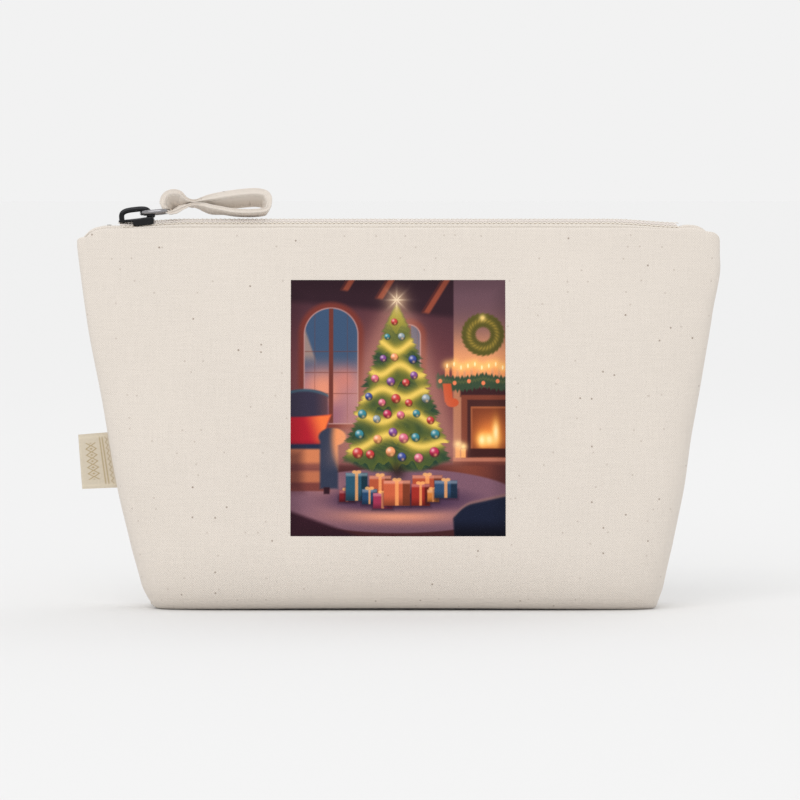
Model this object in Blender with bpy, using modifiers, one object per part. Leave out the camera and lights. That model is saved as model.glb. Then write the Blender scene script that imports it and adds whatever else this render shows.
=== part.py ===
"""Canvas zip pouch with a boxed base: a Blender 4.5 model in metres, +Z up.

The pouch stands on its base, centred on the origin, 270 mm wide (X) and 60 mm deep (Y). Its front
faces -Y. The zip runs along X at the top, closed, with the slider at the -X end. The middle of
each wall is a piece of its own that leans out from the base, which is how the mouth opens.
"""

import bmesh
import bpy
import math

import numpy as np

MM = 0.001
GAP = 0.3 * MM                      # clearance between neighbouring pieces

# the cloth shell
BASE_HALF_WIDTH = 106.8 * MM        # half width that the side seams run down to
SEAM_SLOPE = 0.255                  # widening of each side with height, at the base
SEAM_BOW = 0.46                     # how much that widening eases off, per metre
TOP_HALF_WIDTH = 135.0 * MM
HALF_DEPTH = 30.0 * MM
RIM_HALF_DEPTH = 8.0 * MM
WALL_BULGE = 2.5 * MM
BASE_ROLL = 5.0 * MM                # radius where the walls roll under into the base
RIM_HEIGHT = 160.2 * MM
RIM_DROOP = 3.0 * MM                # drop of the rim from the zip's ends to the corners
CORNER_DROP = 5.0 * MM              # further drop round the corners
CANVAS = 0.8 * MM
HEM_DEPTH = 10.0 * MM
HEM_INSET = 1.9 * MM                # outer face of the folded layer, in from the wall's outer face
BASE_CORNERS = 5.0                  # superellipse exponent of the plan at the base
RIM_CORNERS = 8.0                   # and at the rim
MOUTH_HALF_WIDTH = 96.8 * MM        # the wall is split here, halfway through the gap

# the zip
TAPE = 0.5 * MM
TAPE_TOP = 161.6 * MM
TAPE_BOTTOM = 149.0 * MM
TAPE_INSET = 2.2 * MM
TAPE_END = 119.5 * MM
COIL_INNER = 0.6 * MM
COIL_OUTER = 3.2 * MM
COIL_BOTTOM = 161.9 * MM
COIL_TOP = 163.6 * MM
COIL_END = 118.0 * MM
STOP_LENGTH = 2.7 * MM
TAB_START = 121.3 * MM
TAB_END = 130.0 * MM
TAB_BOTTOM = 151.0 * MM
TAB_TOP = 161.3 * MM
TAB_SLOPE = 3.0 * MM                # length of the sloping corner at the tab's outer end
TAB_HALF_DEPTH = 4.0 * MM

# the slider and its pull
SLIDER_X = -110.1 * MM
SLIDER_LENGTH = 15.0 * MM
SLIDER_HALF_WIDTH = 4.6 * MM
SLIDER_PLATE = 0.9 * MM
FLANGE_SETBACK = 1.5 * MM           # the side flanges start this far behind the nose
WEB_START = 0.4 * MM                # the web's ends, behind the nose
WEB_END = 3.2 * MM
CROWN_WIDTH = 2.4 * MM
CROWN_STRIP = 1.4 * MM
CROWN_TOP = 169.2 * MM
CROWN_SPRING = 166.2 * MM           # height where the crown's arch springs from its feet
CROWN_REACH = 5.4 * MM
RING_WIRE = 1.6 * MM
RING_NEAR_Z = 166.0 * MM
RING_FAR_Z = 167.0 * MM
RING_NEAR_X = -107.0 * MM
RING_FAR_X = -96.6 * MM
RING_NECK = 2.5 * MM                # half widths of the ring, at the crown and at the strap
RING_HALF_WIDTH = 5.4 * MM
STRAP = 1.2 * MM
STRAP_HALF_WIDTH = 4.0 * MM
STRAP_BOTTOM = 164.6 * MM
EYE_LEFT = -100.8 * MM
EYE_RIGHT = -87.0 * MM
EYE_TOP = 175.8 * MM
LOOP_LEFT = -90.0 * MM
LOOP_RIGHT = -53.3 * MM
LOOP_TOP = 175.5 * MM
LOOP_START = 0.55                   # the loop's two ends stop at this angle, inside the waist
WAIST_HALF = 1.2 * MM

# the label and the print
LABEL_LOW = 50.0 * MM
LABEL_HIGH = 73.5 * MM
LABEL_REACH_LOW = 14.0 * MM
LABEL_REACH_HIGH = 11.2 * MM
LABEL_SAG = 0.07                    # how far its outer edge hangs, as a share of its reach
LABEL_THICKNESS = 0.9 * MM
LABEL_ROOT = 1.0 * MM               # the label starts this far out from its hinge line
PRINT_HALF_WIDTH = 45.0 * MM
PRINT_LOW = 30.7 * MM
PRINT_HIGH = 138.2 * MM
PRINT_FILM = 0.25 * MM

# seams inside
BINDING = 2.0 * MM
BINDING_WIDTH = 6.0 * MM

CANVAS_COLOUR = (0.79, 0.72, 0.64)
TAPE_COLOUR = (0.77, 0.71, 0.64)
COIL_COLOUR = (0.78, 0.73, 0.68)
METAL_COLOUR = (0.05, 0.05, 0.055)
LABEL_COLOUR = (0.62, 0.54, 0.42)
PRINT_COLOUR = (0.20, 0.11, 0.10)


# the shell's surface

def half_width(z):
    """Half the width of the pouch between its side seams at height z."""
    width = BASE_HALF_WIDTH + SEAM_SLOPE * z - SEAM_BOW * z * z
    return np.minimum(width, TOP_HALF_WIDTH)


def height_share(z):
    """0 at the top of the base's roll, 1 at the rim."""
    return np.clip((z - BASE_ROLL) / (RIM_HEIGHT - BASE_ROLL), 0.0, 1.0)


def half_depth(z):
    """Half the depth of the pouch at x = 0: a straight taper with a slight bulge."""
    share = height_share(z)
    taper = HALF_DEPTH + (RIM_HALF_DEPTH - HALF_DEPTH) * share
    return taper + WALL_BULGE * np.sin(math.pi * share)


def corner_exponent(z):
    """Exponent of the plan's superellipse: rounder corners at the base, tighter ones above."""
    return BASE_CORNERS + (RIM_CORNERS - BASE_CORNERS) * height_share(z) ** 4


def wall_y(x, z, inset=0.0):
    """Depth of the wall in front of the middle plane at (x, z), moved in by inset."""
    n = corner_exponent(z)
    share = np.clip(np.abs(x) / (half_width(z) - inset), 0.0, 1.0)
    return (half_depth(z) - inset) * (1.0 - share ** n) ** (1.0 / n)


def wall_x(y, z, inset=0.0):
    """Half width of the shell at depth y and height z, moved in by inset."""
    n = corner_exponent(z)
    share = np.clip(np.abs(y) / (half_depth(z) - inset), 0.0, 1.0)
    return (half_width(z) - inset) * (1.0 - share ** n) ** (1.0 / n)


def smooth(value):
    """The smoothstep of a value cut to 0..1."""
    cut = np.clip(value, 0.0, 1.0)
    return cut * cut * (3.0 - 2.0 * cut)


def rim_z(share):
    """Height of the rim at a share of its half width: level, then drooping, then rounded off."""
    droop = RIM_DROOP * smooth((share - 0.83) / 0.14)
    corner = np.clip((share - 0.965) / 0.035, 0.0, 1.0)
    return RIM_HEIGHT - droop - CORNER_DROP * (1.0 - np.sqrt(1.0 - corner ** 2))


# stations round the front half

def side_stations(count):
    """Stations from the side seam to the split: each is a share of the corner's angle."""
    return [("side", share) for share in np.linspace(0.0, 1.0, count)]


def middle_stations(count, edge):
    """Stations across the middle of the wall, from -edge to +edge."""
    return [("middle", x) for x in np.linspace(-edge, edge, count)]


def station_point(station, z, inset, sign, split):
    """The (x, y) of a station at height z, on the shell moved in by inset.

    A side station runs round the corner: its parameter angle grows as share ** (n / 2), which
    spaces the points evenly along the wall. It starts half a gap from the middle plane.
    """
    kind, value = station
    if kind == "middle":
        return value, -max(wall_y(value, z, inset), GAP / 2)
    n = corner_exponent(z)
    width = half_width(z) - inset
    depth = half_depth(z) - inset
    full = math.acos(min(split / width, 1.0) ** (n / 2))
    angle = full * value ** (n / 2)
    x = width * math.cos(angle) ** (2 / n)
    y = depth * math.sin(angle) ** (2 / n)
    return sign * x, -max(y, GAP / 2)


def rim_height_at(station, sign, split):
    """The rim's height at a station."""
    x, _ = station_point(station, RIM_HEIGHT, 0.0, sign, split)
    return float(rim_z(abs(x) / TOP_HALF_WIDTH))


def wall_grid(stations, sign, split, rows):
    """Rows up the wall's outer face, over the rim, and down the folded layer of the hem."""
    columns = []
    bottom = BASE_ROLL + GAP
    for station in stations:
        top = rim_height_at(station, sign, split)
        path = [(bottom + (top - bottom) * k / rows, 0.0) for k in range(rows + 1)]
        path += [(top, HEM_INSET), (top - HEM_DEPTH / 2, HEM_INSET), (top - HEM_DEPTH, HEM_INSET)]
        column = []
        for z, inset in path:
            x, y = station_point(station, z, inset, sign, split)
            column.append((x, y, z))
        columns.append(column)
    return np.array(columns).transpose(1, 0, 2)


def base_grid(stations, flat_rows, roll_rows):
    """Rows out from the middle plane across the flat base, then up the roll."""
    columns = []
    spread = 0.9 * (half_width(BASE_ROLL) - BASE_ROLL - MOUTH_HALF_WIDTH)
    for kind, value, sign in stations:
        edge_x, edge_y = station_point((kind, value), BASE_ROLL, BASE_ROLL, sign, MOUTH_HALF_WIDTH)
        middle_x = edge_x
        if kind == "side":
            middle_x = sign * (MOUTH_HALF_WIDTH + spread * (1.0 - value))
        column = []
        for k in range(flat_rows):
            share = k / flat_rows
            x = middle_x + (edge_x - middle_x) * share
            y = -GAP / 2 + (edge_y + GAP / 2) * share
            column.append((x, y, 0.0))
        for k in range(roll_rows + 1):
            angle = math.pi / 2 * k / roll_rows
            inset = BASE_ROLL * (1.0 - math.sin(angle))
            x, y = station_point((kind, value), BASE_ROLL, inset, sign, MOUTH_HALF_WIDTH)
            column.append((x, y, BASE_ROLL * (1.0 - math.cos(angle))))
        columns.append(column)
    return np.array(columns).transpose(1, 0, 2)


# Blender helpers

def clear_scene():
    """Removes every object, and the collections and meshes they leave."""
    for thing in list(bpy.data.objects):
        bpy.data.objects.remove(thing, do_unlink=True)
    for group in list(bpy.data.collections):
        bpy.data.collections.remove(group)


def make_collection(name):
    """A new collection in the scene."""
    group = bpy.data.collections.new(name)
    bpy.context.scene.collection.children.link(group)
    return group


def make_material(name, colour, roughness, metallic=0.0):
    """A plain Principled material."""
    material = bpy.data.materials.new(name)
    material.use_nodes = True
    shader = material.node_tree.nodes["Principled BSDF"]
    shader.inputs["Base Color"].default_value = (*colour, 1.0)
    shader.inputs["Roughness"].default_value = roughness
    shader.inputs["Metallic"].default_value = metallic
    return material


def add_object(name, mesh, look):
    """Links a mesh into the parts collection with its own material."""
    thing = bpy.data.objects.new(name, mesh)
    parts.objects.link(thing)
    thing.data.materials.append(make_material(name, *look))
    return thing


def hide_as_cutter(thing):
    """Turns an object into a hidden Boolean operand."""
    for group in thing.users_collection:
        group.objects.unlink(thing)
    cutters.objects.link(thing)
    thing.hide_render = True
    thing.display_type = "WIRE"


def grid_mesh(name, grid, closed=False):
    """A mesh of quads over a grid of points, rows by columns, facing out from the pouch.

    A closed grid joins its last column to its first.
    """
    rows, columns, _ = grid.shape
    span = columns if closed else columns - 1
    faces = []
    for i in range(rows - 1):
        for j in range(span):
            k = (j + 1) % columns
            faces.append((i * columns + j, i * columns + k, (i + 1) * columns + k, (i + 1) * columns + j))
    mesh = bpy.data.meshes.new(name)
    mesh.from_pydata([tuple(point) for point in grid.reshape(-1, 3)], [], faces)
    mesh.update()
    return mesh


def add_shell(name, grid, thickness, look, offset=-1.0, closed=False):
    """A sheet over a grid of points, thickened by Solidify."""
    thing = add_object(name, grid_mesh(name, grid, closed), look)
    thing.data.shade_smooth()
    thing.data.set_sharp_from_angle(angle=math.radians(35))
    solid = thing.modifiers.new("thickness", "SOLIDIFY")
    solid.thickness = thickness
    solid.offset = offset
    solid.use_even_offset = True
    return thing


def mirrored_back(grid):
    """The same grid on the back of the pouch, with its columns turned so that it faces out."""
    back = grid[:, ::-1].copy()
    back[:, :, 1] *= -1
    return back


def mirrored_right(grid):
    """The same grid on the right of the pouch, with its columns turned so that it faces out."""
    right = grid[:, ::-1].copy()
    right[:, :, 0] *= -1
    return right


def add_box(name, low, high, look, bevel=0.0):
    """A box between two corners, with its edges rounded when bevel is given."""
    size = [b - a for a, b in zip(low, high)]
    centre = [(a + b) / 2 for a, b in zip(low, high)]
    shape = bmesh.new()
    bmesh.ops.create_cube(shape, size=1.0)
    bmesh.ops.scale(shape, vec=size, verts=shape.verts)
    mesh = bpy.data.meshes.new(name)
    shape.to_mesh(mesh)
    shape.free()
    thing = add_object(name, mesh, look)
    thing.location = centre
    if bevel:
        edge = thing.modifiers.new("edges", "BEVEL")
        edge.width = bevel
        edge.segments = 2
    return thing


def join(thing, others):
    """Unites other solids with one by exact Booleans."""
    for other in others:
        union = thing.modifiers.new("join " + other.name, "BOOLEAN")
        union.operation = "UNION"
        union.object = other
        hide_as_cutter(other)


# the cloth pieces

CANVAS_LOOK = (CANVAS_COLOUR, 0.9)
TAPE_LOOK = (TAPE_COLOUR, 0.85)
COIL_LOOK = (COIL_COLOUR, 0.45)
METAL_LOOK = (METAL_COLOUR, 0.3, 1.0)


def make_base():
    """The two halves of the boxed base, each a shallow tray that meets the other at y = 0."""
    split = MOUTH_HALF_WIDTH - GAP / 2
    left = [(kind, value, -1) for kind, value in side_stations(9)]
    middle = [(kind, value, 1) for kind, value in middle_stations(17, split)]
    right = [(kind, value, 1) for kind, value in reversed(side_stations(9))]
    grid = base_grid(left[:-1] + middle + right[1:], 5, 5)
    add_shell("base_front", grid, CANVAS, CANVAS_LOOK)
    add_shell("base_back", mirrored_back(grid), CANVAS, CANVAS_LOOK)


def make_walls():
    """The middle of each wall, and the four corner panels that wrap round to the side seams."""
    edge = MOUTH_HALF_WIDTH - GAP / 2
    middle = wall_grid(middle_stations(21, edge), 1, edge, 14)
    add_shell("front_panel", middle, CANVAS, CANVAS_LOOK)
    add_shell("back_panel", mirrored_back(middle), CANVAS, CANVAS_LOOK)
    corner = wall_grid(side_stations(12), -1, MOUTH_HALF_WIDTH + GAP / 2, 14)
    add_shell("front_left_panel", corner, CANVAS, CANVAS_LOOK)
    add_shell("front_right_panel", mirrored_right(corner), CANVAS, CANVAS_LOOK)
    add_shell("back_left_panel", mirrored_back(corner), CANVAS, CANVAS_LOOK)
    add_shell("back_right_panel", mirrored_right(mirrored_back(corner)), CANVAS, CANVAS_LOOK)


def make_side_bindings():
    """Bound seam allowances that stand in from each side seam."""
    low = 16.0 * MM
    high = float(rim_z(1.0)) - HEM_DEPTH - 0.5 * MM
    heights = np.linspace(low, high, 12)
    outer = -(half_width(heights) - CANVAS - GAP)
    zero = np.zeros_like(heights)
    left = np.stack([np.stack([outer, zero, heights], 1),
                     np.stack([outer + BINDING_WIDTH, zero, heights], 1)], 1)
    add_shell("left_seam_binding", left, BINDING, CANVAS_LOOK, offset=0.0)
    add_shell("right_seam_binding", mirrored_right(left), BINDING, CANVAS_LOOK, offset=0.0)


def make_corner_bindings():
    """Bound seam allowances across the two ends of the base, flat against the side walls."""
    inset = CANVAS + GAP
    heights = np.linspace(BASE_ROLL + 2.0 * MM, BASE_ROLL + 2.0 * MM + BINDING_WIDTH, 3)
    depths = np.linspace(20.0 * MM, -20.0 * MM, 11)
    rows = [[(-wall_x(y, z, inset), y, z) for y in depths] for z in heights]
    left = np.array(rows)
    add_shell("left_corner_binding", left, BINDING, CANVAS_LOOK)
    add_shell("right_corner_binding", mirrored_right(left), BINDING, CANVAS_LOOK)


def make_base_binding():
    """The bound seam allowance along the middle of the base, lying flat inside."""
    low = (-94.0 * MM, -BINDING_WIDTH / 2, CANVAS + GAP)
    high = (94.0 * MM, BINDING_WIDTH / 2, CANVAS + GAP + BINDING)
    add_box("base_seam_binding", low, high, CANVAS_LOOK, bevel=0.5 * MM)


# the zip

def tape_grid(xs):
    """Rows up inside the hem, then across the top to the tape's inner edge."""
    heights = (TAPE_BOTTOM, (TAPE_BOTTOM + TAPE_TOP) / 2, TAPE_TOP)
    rows = [[(x, -float(wall_y(x, RIM_HEIGHT, TAPE_INSET)), z) for x in xs] for z in heights]
    rows.append([(x, -COIL_INNER, TAPE_TOP) for x in xs])
    return np.array(rows)


def make_tapes():
    """The two tapes, each in a middle that opens with its wall and an end at each side."""
    edge = MOUTH_HALF_WIDTH - GAP / 2
    start = MOUTH_HALF_WIDTH + GAP / 2
    middle = tape_grid(np.linspace(-edge, edge, 17))
    left = tape_grid(np.linspace(-TAPE_END, -start, 5))
    for side, turn in (("front", lambda grid: grid), ("back", mirrored_back)):
        add_shell(side + "_tape", turn(middle), TAPE, TAPE_LOOK)
        add_shell(side + "_tape_left_end", turn(left), TAPE, TAPE_LOOK)
        add_shell(side + "_tape_right_end", turn(mirrored_right(left)), TAPE, TAPE_LOOK)


def make_coils():
    """The two rows of zip teeth as plain rods, split like the tapes."""
    edge = MOUTH_HALF_WIDTH - GAP / 2
    start = MOUTH_HALF_WIDTH + GAP / 2
    spans = (("", -edge, edge), ("_left_end", -COIL_END, -start), ("_right_end", start, COIL_END))
    for side, sign in (("front", -1), ("back", 1)):
        y_low, y_high = sorted((sign * COIL_INNER, sign * COIL_OUTER))
        for suffix, x_low, x_high in spans:
            low = (x_low, y_low, COIL_BOTTOM)
            high = (x_high, y_high, COIL_TOP)
            add_box(side + "_coil" + suffix, low, high, COIL_LOOK, bevel=0.5 * MM)


def make_stops():
    """A metal stop on each tape at the closed end, and one across both at the open end."""
    near = COIL_END + GAP
    far = near + STOP_LENGTH
    for side, sign in (("front", -1), ("back", 1)):
        y_low, y_high = sorted((sign * COIL_INNER, sign * COIL_OUTER))
        low = (-far, y_low, COIL_BOTTOM)
        high = (-near, y_high, COIL_TOP)
        add_box("top_stop_" + side, low, high, METAL_LOOK, bevel=0.3 * MM)
    low = (near, -COIL_OUTER, COIL_BOTTOM)
    high = (far, COIL_OUTER, COIL_TOP)
    add_box("bottom_stop", low, high, METAL_LOOK, bevel=0.3 * MM)


def make_end_tabs():
    """The folded ends of the zip, tucked between the walls at each corner."""
    outline = [(TAB_START, TAB_BOTTOM), (TAB_END, TAB_BOTTOM), (TAB_END, TAB_TOP - 3.7 * MM),
               (TAB_END - TAB_SLOPE, TAB_TOP - 0.7 * MM), (TAB_START, TAB_TOP)]
    for side, sign in (("left", -1), ("right", 1)):
        shape = bmesh.new()
        corners = [shape.verts.new((sign * x, -TAB_HALF_DEPTH, z)) for x, z in outline]
        face = shape.faces.new(corners)
        grown = bmesh.ops.extrude_face_region(shape, geom=[face])
        moved = [item for item in grown["geom"] if isinstance(item, bmesh.types.BMVert)]
        bmesh.ops.translate(shape, vec=(0, 2 * TAB_HALF_DEPTH, 0), verts=moved)
        bmesh.ops.recalc_face_normals(shape, faces=shape.faces)
        mesh = bpy.data.meshes.new(side + "_zip_end_tab")
        shape.to_mesh(mesh)
        shape.free()
        thing = add_object(side + "_zip_end_tab", mesh, TAPE_LOOK)
        edge = thing.modifiers.new("edges", "BEVEL")
        edge.width = 0.6 * MM
        edge.segments = 2


# the slider, ring and loop

def crown_grid():
    """The slider's crown as a strip: two upright feet and an arch between them."""
    rise = CROWN_TOP - CROWN_STRIP / 2 - CROWN_SPRING
    foot = COIL_TOP + GAP + SLIDER_PLATE / 2
    path = [(SLIDER_X - CROWN_REACH, foot)]
    for angle in np.linspace(math.pi, 0.0, 13):
        x = SLIDER_X + CROWN_REACH * math.cos(angle)
        z = CROWN_SPRING + rise * math.sin(angle) ** 0.8
        path.append((x, z))
    path.append((SLIDER_X + CROWN_REACH, foot))
    half = CROWN_WIDTH / 2
    return np.array([[(x, -half, z) for x, z in path], [(x, half, z) for x, z in path]])


def make_slider():
    """Two plates round the chain, joined by a thin web at the nose, under an arched crown."""
    x_low = SLIDER_X - SLIDER_LENGTH / 2
    x_high = SLIDER_X + SLIDER_LENGTH / 2
    half = SLIDER_HALF_WIDTH
    top_low = COIL_TOP + GAP
    top_high = top_low + SLIDER_PLATE
    under_high = TAPE_TOP - TAPE - 0.4 * MM
    under_low = under_high - SLIDER_PLATE
    body = add_box("slider_body", (x_low, -half, top_low), (x_high, half, top_high), METAL_LOOK, 0.35 * MM)
    under_corners = ((x_low, -half, under_low), (x_high, half, under_high))
    under = add_box("under_plate", *under_corners, METAL_LOOK, 0.3 * MM)
    pieces = [under]
    for side, sign in (("front", -1), ("back", 1)):
        y_low, y_high = sorted((sign * (COIL_OUTER + GAP), sign * half))
        low = (x_low + FLANGE_SETBACK, y_low, TAPE_TOP + GAP)
        high = (x_high, y_high, top_low + SLIDER_PLATE / 2)
        pieces.append(add_box("flange_" + side, low, high, METAL_LOOK, 0.2 * MM))
    web_low = (x_low + WEB_START, -GAP, under_high - SLIDER_PLATE / 2)
    web_high = (x_low + WEB_END, GAP, top_low + SLIDER_PLATE / 2)
    pieces.append(add_box("web", web_low, web_high, METAL_LOOK))
    pieces.append(add_shell("crown", crown_grid(), CROWN_STRIP, METAL_LOOK, offset=0.0))
    join(body, pieces)


def make_ring():
    """The wire ring: narrow where it passes under the crown, wide where it holds the strap."""
    middle = RING_NEAR_X + 3.6 * MM
    corners = [(RING_NEAR_X, -RING_NECK), (middle, -RING_HALF_WIDTH), (RING_FAR_X, -RING_HALF_WIDTH),
               (RING_FAR_X, RING_HALF_WIDTH), (middle, RING_HALF_WIDTH), (RING_NEAR_X, RING_NECK)]
    curve = bpy.data.curves.new("pull_ring", "CURVE")
    curve.dimensions = "3D"
    curve.bevel_depth = RING_WIRE / 2
    curve.bevel_resolution = 3
    points = rounded(corners, 1.2 * MM, 4)
    spline = curve.splines.new("POLY")
    spline.points.add(len(points) - 1)
    rise = (RING_FAR_Z - RING_NEAR_Z) / (RING_FAR_X - RING_NEAR_X)
    for point, (x, y) in zip(spline.points, points):
        point.co = (x - RING_NEAR_X, y, (x - RING_NEAR_X) * rise, 1.0)
    spline.use_cyclic_u = True
    ring = bpy.data.objects.new("pull_ring", curve)
    ring.location = (RING_NEAR_X, 0.0, RING_NEAR_Z)
    parts.objects.link(ring)
    curve.materials.append(make_material("pull_ring", *METAL_LOOK))


def rounded(corners, radius, steps):
    """A closed outline with each corner replaced by points on a quadratic arc."""
    points = []
    count = len(corners)
    for k in range(count):
        before = np.array(corners[k - 1])
        here = np.array(corners[k])
        after = np.array(corners[(k + 1) % count])
        start = here + (before - here) / np.linalg.norm(before - here) * radius
        end = here + (after - here) / np.linalg.norm(after - here) * radius
        for step in range(steps + 1):
            t = step / steps
            points.append(tuple((1 - t) ** 2 * start + 2 * t * (1 - t) * here + t * t * end))
    return points


def band(name, outline, closed):
    """A strap bent along an outline in the XZ plane, its width along Y."""
    half = STRAP_HALF_WIDTH
    rows = [[(x, -half, z) for x, z in outline], [(x, half, z) for x, z in outline]]
    return add_shell(name, np.array(rows), STRAP, CANVAS_LOOK, offset=0.0, closed=closed)


def make_pull_loop():
    """The canvas strap: a small eye round the ring, stitched at its waist, and a long loop."""
    half_strap = STRAP / 2
    centre_x = (EYE_LEFT + EYE_RIGHT) / 2
    centre_z = (STRAP_BOTTOM + EYE_TOP) / 2
    wide = (EYE_RIGHT - EYE_LEFT) / 2 - half_strap
    tall = (EYE_TOP - STRAP_BOTTOM) / 2 - half_strap
    eye = []
    for angle in np.linspace(0.0, 2 * math.pi, 28, endpoint=False):
        c, s = math.cos(angle), math.sin(angle)
        x = centre_x + wide * math.copysign(abs(c) ** (2 / 3), c)
        z = centre_z + tall * math.copysign(abs(s) ** (2 / 3), s)
        eye.append((x, z))
    length = LOOP_RIGHT - LOOP_LEFT - half_strap
    middle_z = (STRAP_BOTTOM + LOOP_TOP) / 2
    height = (LOOP_TOP - STRAP_BOTTOM) / 2 - half_strap
    peak = 0.7698                   # largest value of sin(a) * sin(a / 2)
    drop = []
    for angle in np.linspace(LOOP_START, 2 * math.pi - LOOP_START, 37):
        x = LOOP_LEFT + length * (1.0 - math.cos(angle)) / 2
        z = middle_z + height / peak * math.sin(angle) * abs(math.sin(angle / 2))
        drop.append((x, z))
    loop = band("pull_loop", drop, False)
    low = (EYE_RIGHT - 1.6 * MM, -STRAP_HALF_WIDTH, middle_z - WAIST_HALF)
    high = (LOOP_LEFT + 6.0 * MM, STRAP_HALF_WIDTH, middle_z + WAIST_HALF)
    waist = add_box("waist", low, high, CANVAS_LOOK, 0.3 * MM)
    join(loop, [band("eye", eye, True), waist])


# the label and the print

def make_label():
    """The folded woven label that stands out from the left side seam."""
    low = np.array([-(float(half_width(LABEL_LOW)) + GAP), 0.0, LABEL_LOW])
    high = np.array([-(float(half_width(LABEL_HIGH)) + GAP), 0.0, LABEL_HIGH])
    out = np.array([-1.0, 0.0, -LABEL_SAG])
    rows = []
    for share in (0.0, 0.5, 1.0):
        root = low + (high - low) * share
        tip = LABEL_REACH_LOW + (LABEL_REACH_HIGH - LABEL_REACH_LOW) * share
        rows.append([root + out * reach - low for reach in np.linspace(tip, LABEL_ROOT, 4)])
    label = add_shell("side_label", np.array(rows), LABEL_THICKNESS, (LABEL_COLOUR, 0.7), offset=0.0)
    label.location = low


def make_print():
    """The printed film on the front wall, following its curve."""
    inset = -(GAP + PRINT_FILM)
    xs = np.linspace(-PRINT_HALF_WIDTH, PRINT_HALF_WIDTH, 13)
    heights = np.linspace(PRINT_LOW, PRINT_HIGH, 13)
    rows = [[(x, -float(wall_y(x, z, inset)), z) for x in xs] for z in heights]
    add_shell("print_transfer", np.array(rows), PRINT_FILM, (PRINT_COLOUR, 0.5))


clear_scene()
parts = make_collection("canvas_zip_pouch")
cutters = make_collection("cutters")
make_base()
make_walls()
make_side_bindings()
make_corner_bindings()
make_base_binding()
make_tapes()
make_coils()
make_stops()
make_end_tabs()
make_slider()
make_ring()
make_pull_loop()
make_label()
make_print()
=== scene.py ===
# Natural canvas zip pouch with a printed front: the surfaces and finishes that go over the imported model.
import math

import bpy
import numpy as np
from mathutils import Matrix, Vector


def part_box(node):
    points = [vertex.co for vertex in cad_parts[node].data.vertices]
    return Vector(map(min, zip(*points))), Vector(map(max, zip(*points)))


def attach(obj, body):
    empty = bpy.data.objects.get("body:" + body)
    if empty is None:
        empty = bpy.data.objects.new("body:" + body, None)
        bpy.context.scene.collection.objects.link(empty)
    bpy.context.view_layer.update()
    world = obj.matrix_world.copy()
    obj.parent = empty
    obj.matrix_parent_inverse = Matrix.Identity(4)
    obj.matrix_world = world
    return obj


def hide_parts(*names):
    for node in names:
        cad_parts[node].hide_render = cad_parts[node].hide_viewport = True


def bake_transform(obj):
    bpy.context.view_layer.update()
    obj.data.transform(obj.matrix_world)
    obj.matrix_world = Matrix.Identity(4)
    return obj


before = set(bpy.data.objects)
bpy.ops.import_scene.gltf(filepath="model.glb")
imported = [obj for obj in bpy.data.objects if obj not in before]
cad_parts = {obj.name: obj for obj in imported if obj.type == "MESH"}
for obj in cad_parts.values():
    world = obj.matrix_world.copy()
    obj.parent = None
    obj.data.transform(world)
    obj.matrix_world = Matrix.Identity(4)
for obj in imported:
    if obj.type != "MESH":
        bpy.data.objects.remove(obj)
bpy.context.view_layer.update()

mm = 0.001


def smooth(value):
    # 3t^2 - 2t^3 of a value cut to 0..1
    cut = np.clip(value, 0.0, 1.0)
    return cut * cut * (3.0 - 2.0 * cut)


def along(knots, value):
    # the knots' second numbers against their first, eased in and out between each pair
    knots = np.asarray(knots, float) * mm
    k = np.clip(np.searchsorted(knots[:, 0], value, "right") - 1, 0, len(knots) - 2)
    t = (value - knots[k, 0]) / (knots[k + 1, 0] - knots[k, 0])
    return knots[k, 1] + (knots[k + 1, 1] - knots[k, 1]) * smooth(t)


def signedPower(value, power):
    # the value's size raised to the power, with its sign kept
    return np.sign(value) * np.abs(value) ** power


def unit(vectors):
    # each vector over its own length
    length = np.linalg.norm(vectors, axis=-1, keepdims=True)
    return vectors / np.maximum(length, 1e-12)


def quads(rows, columns, closeRows=False, closeColumns=False, start=0):
    # corner numbers of a rows by columns grid, each quad going right and then up
    i = np.arange(rows if closeRows else rows - 1)[:, None]
    j = np.arange(columns if closeColumns else columns - 1)[None, :]
    up = (i + 1) % rows
    right = (j + 1) % columns
    corners = [i * columns + j, i * columns + right, up * columns + right, up * columns + j]
    return np.stack(np.broadcast_arrays(*corners), -1).reshape(-1, 4) + start


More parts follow.
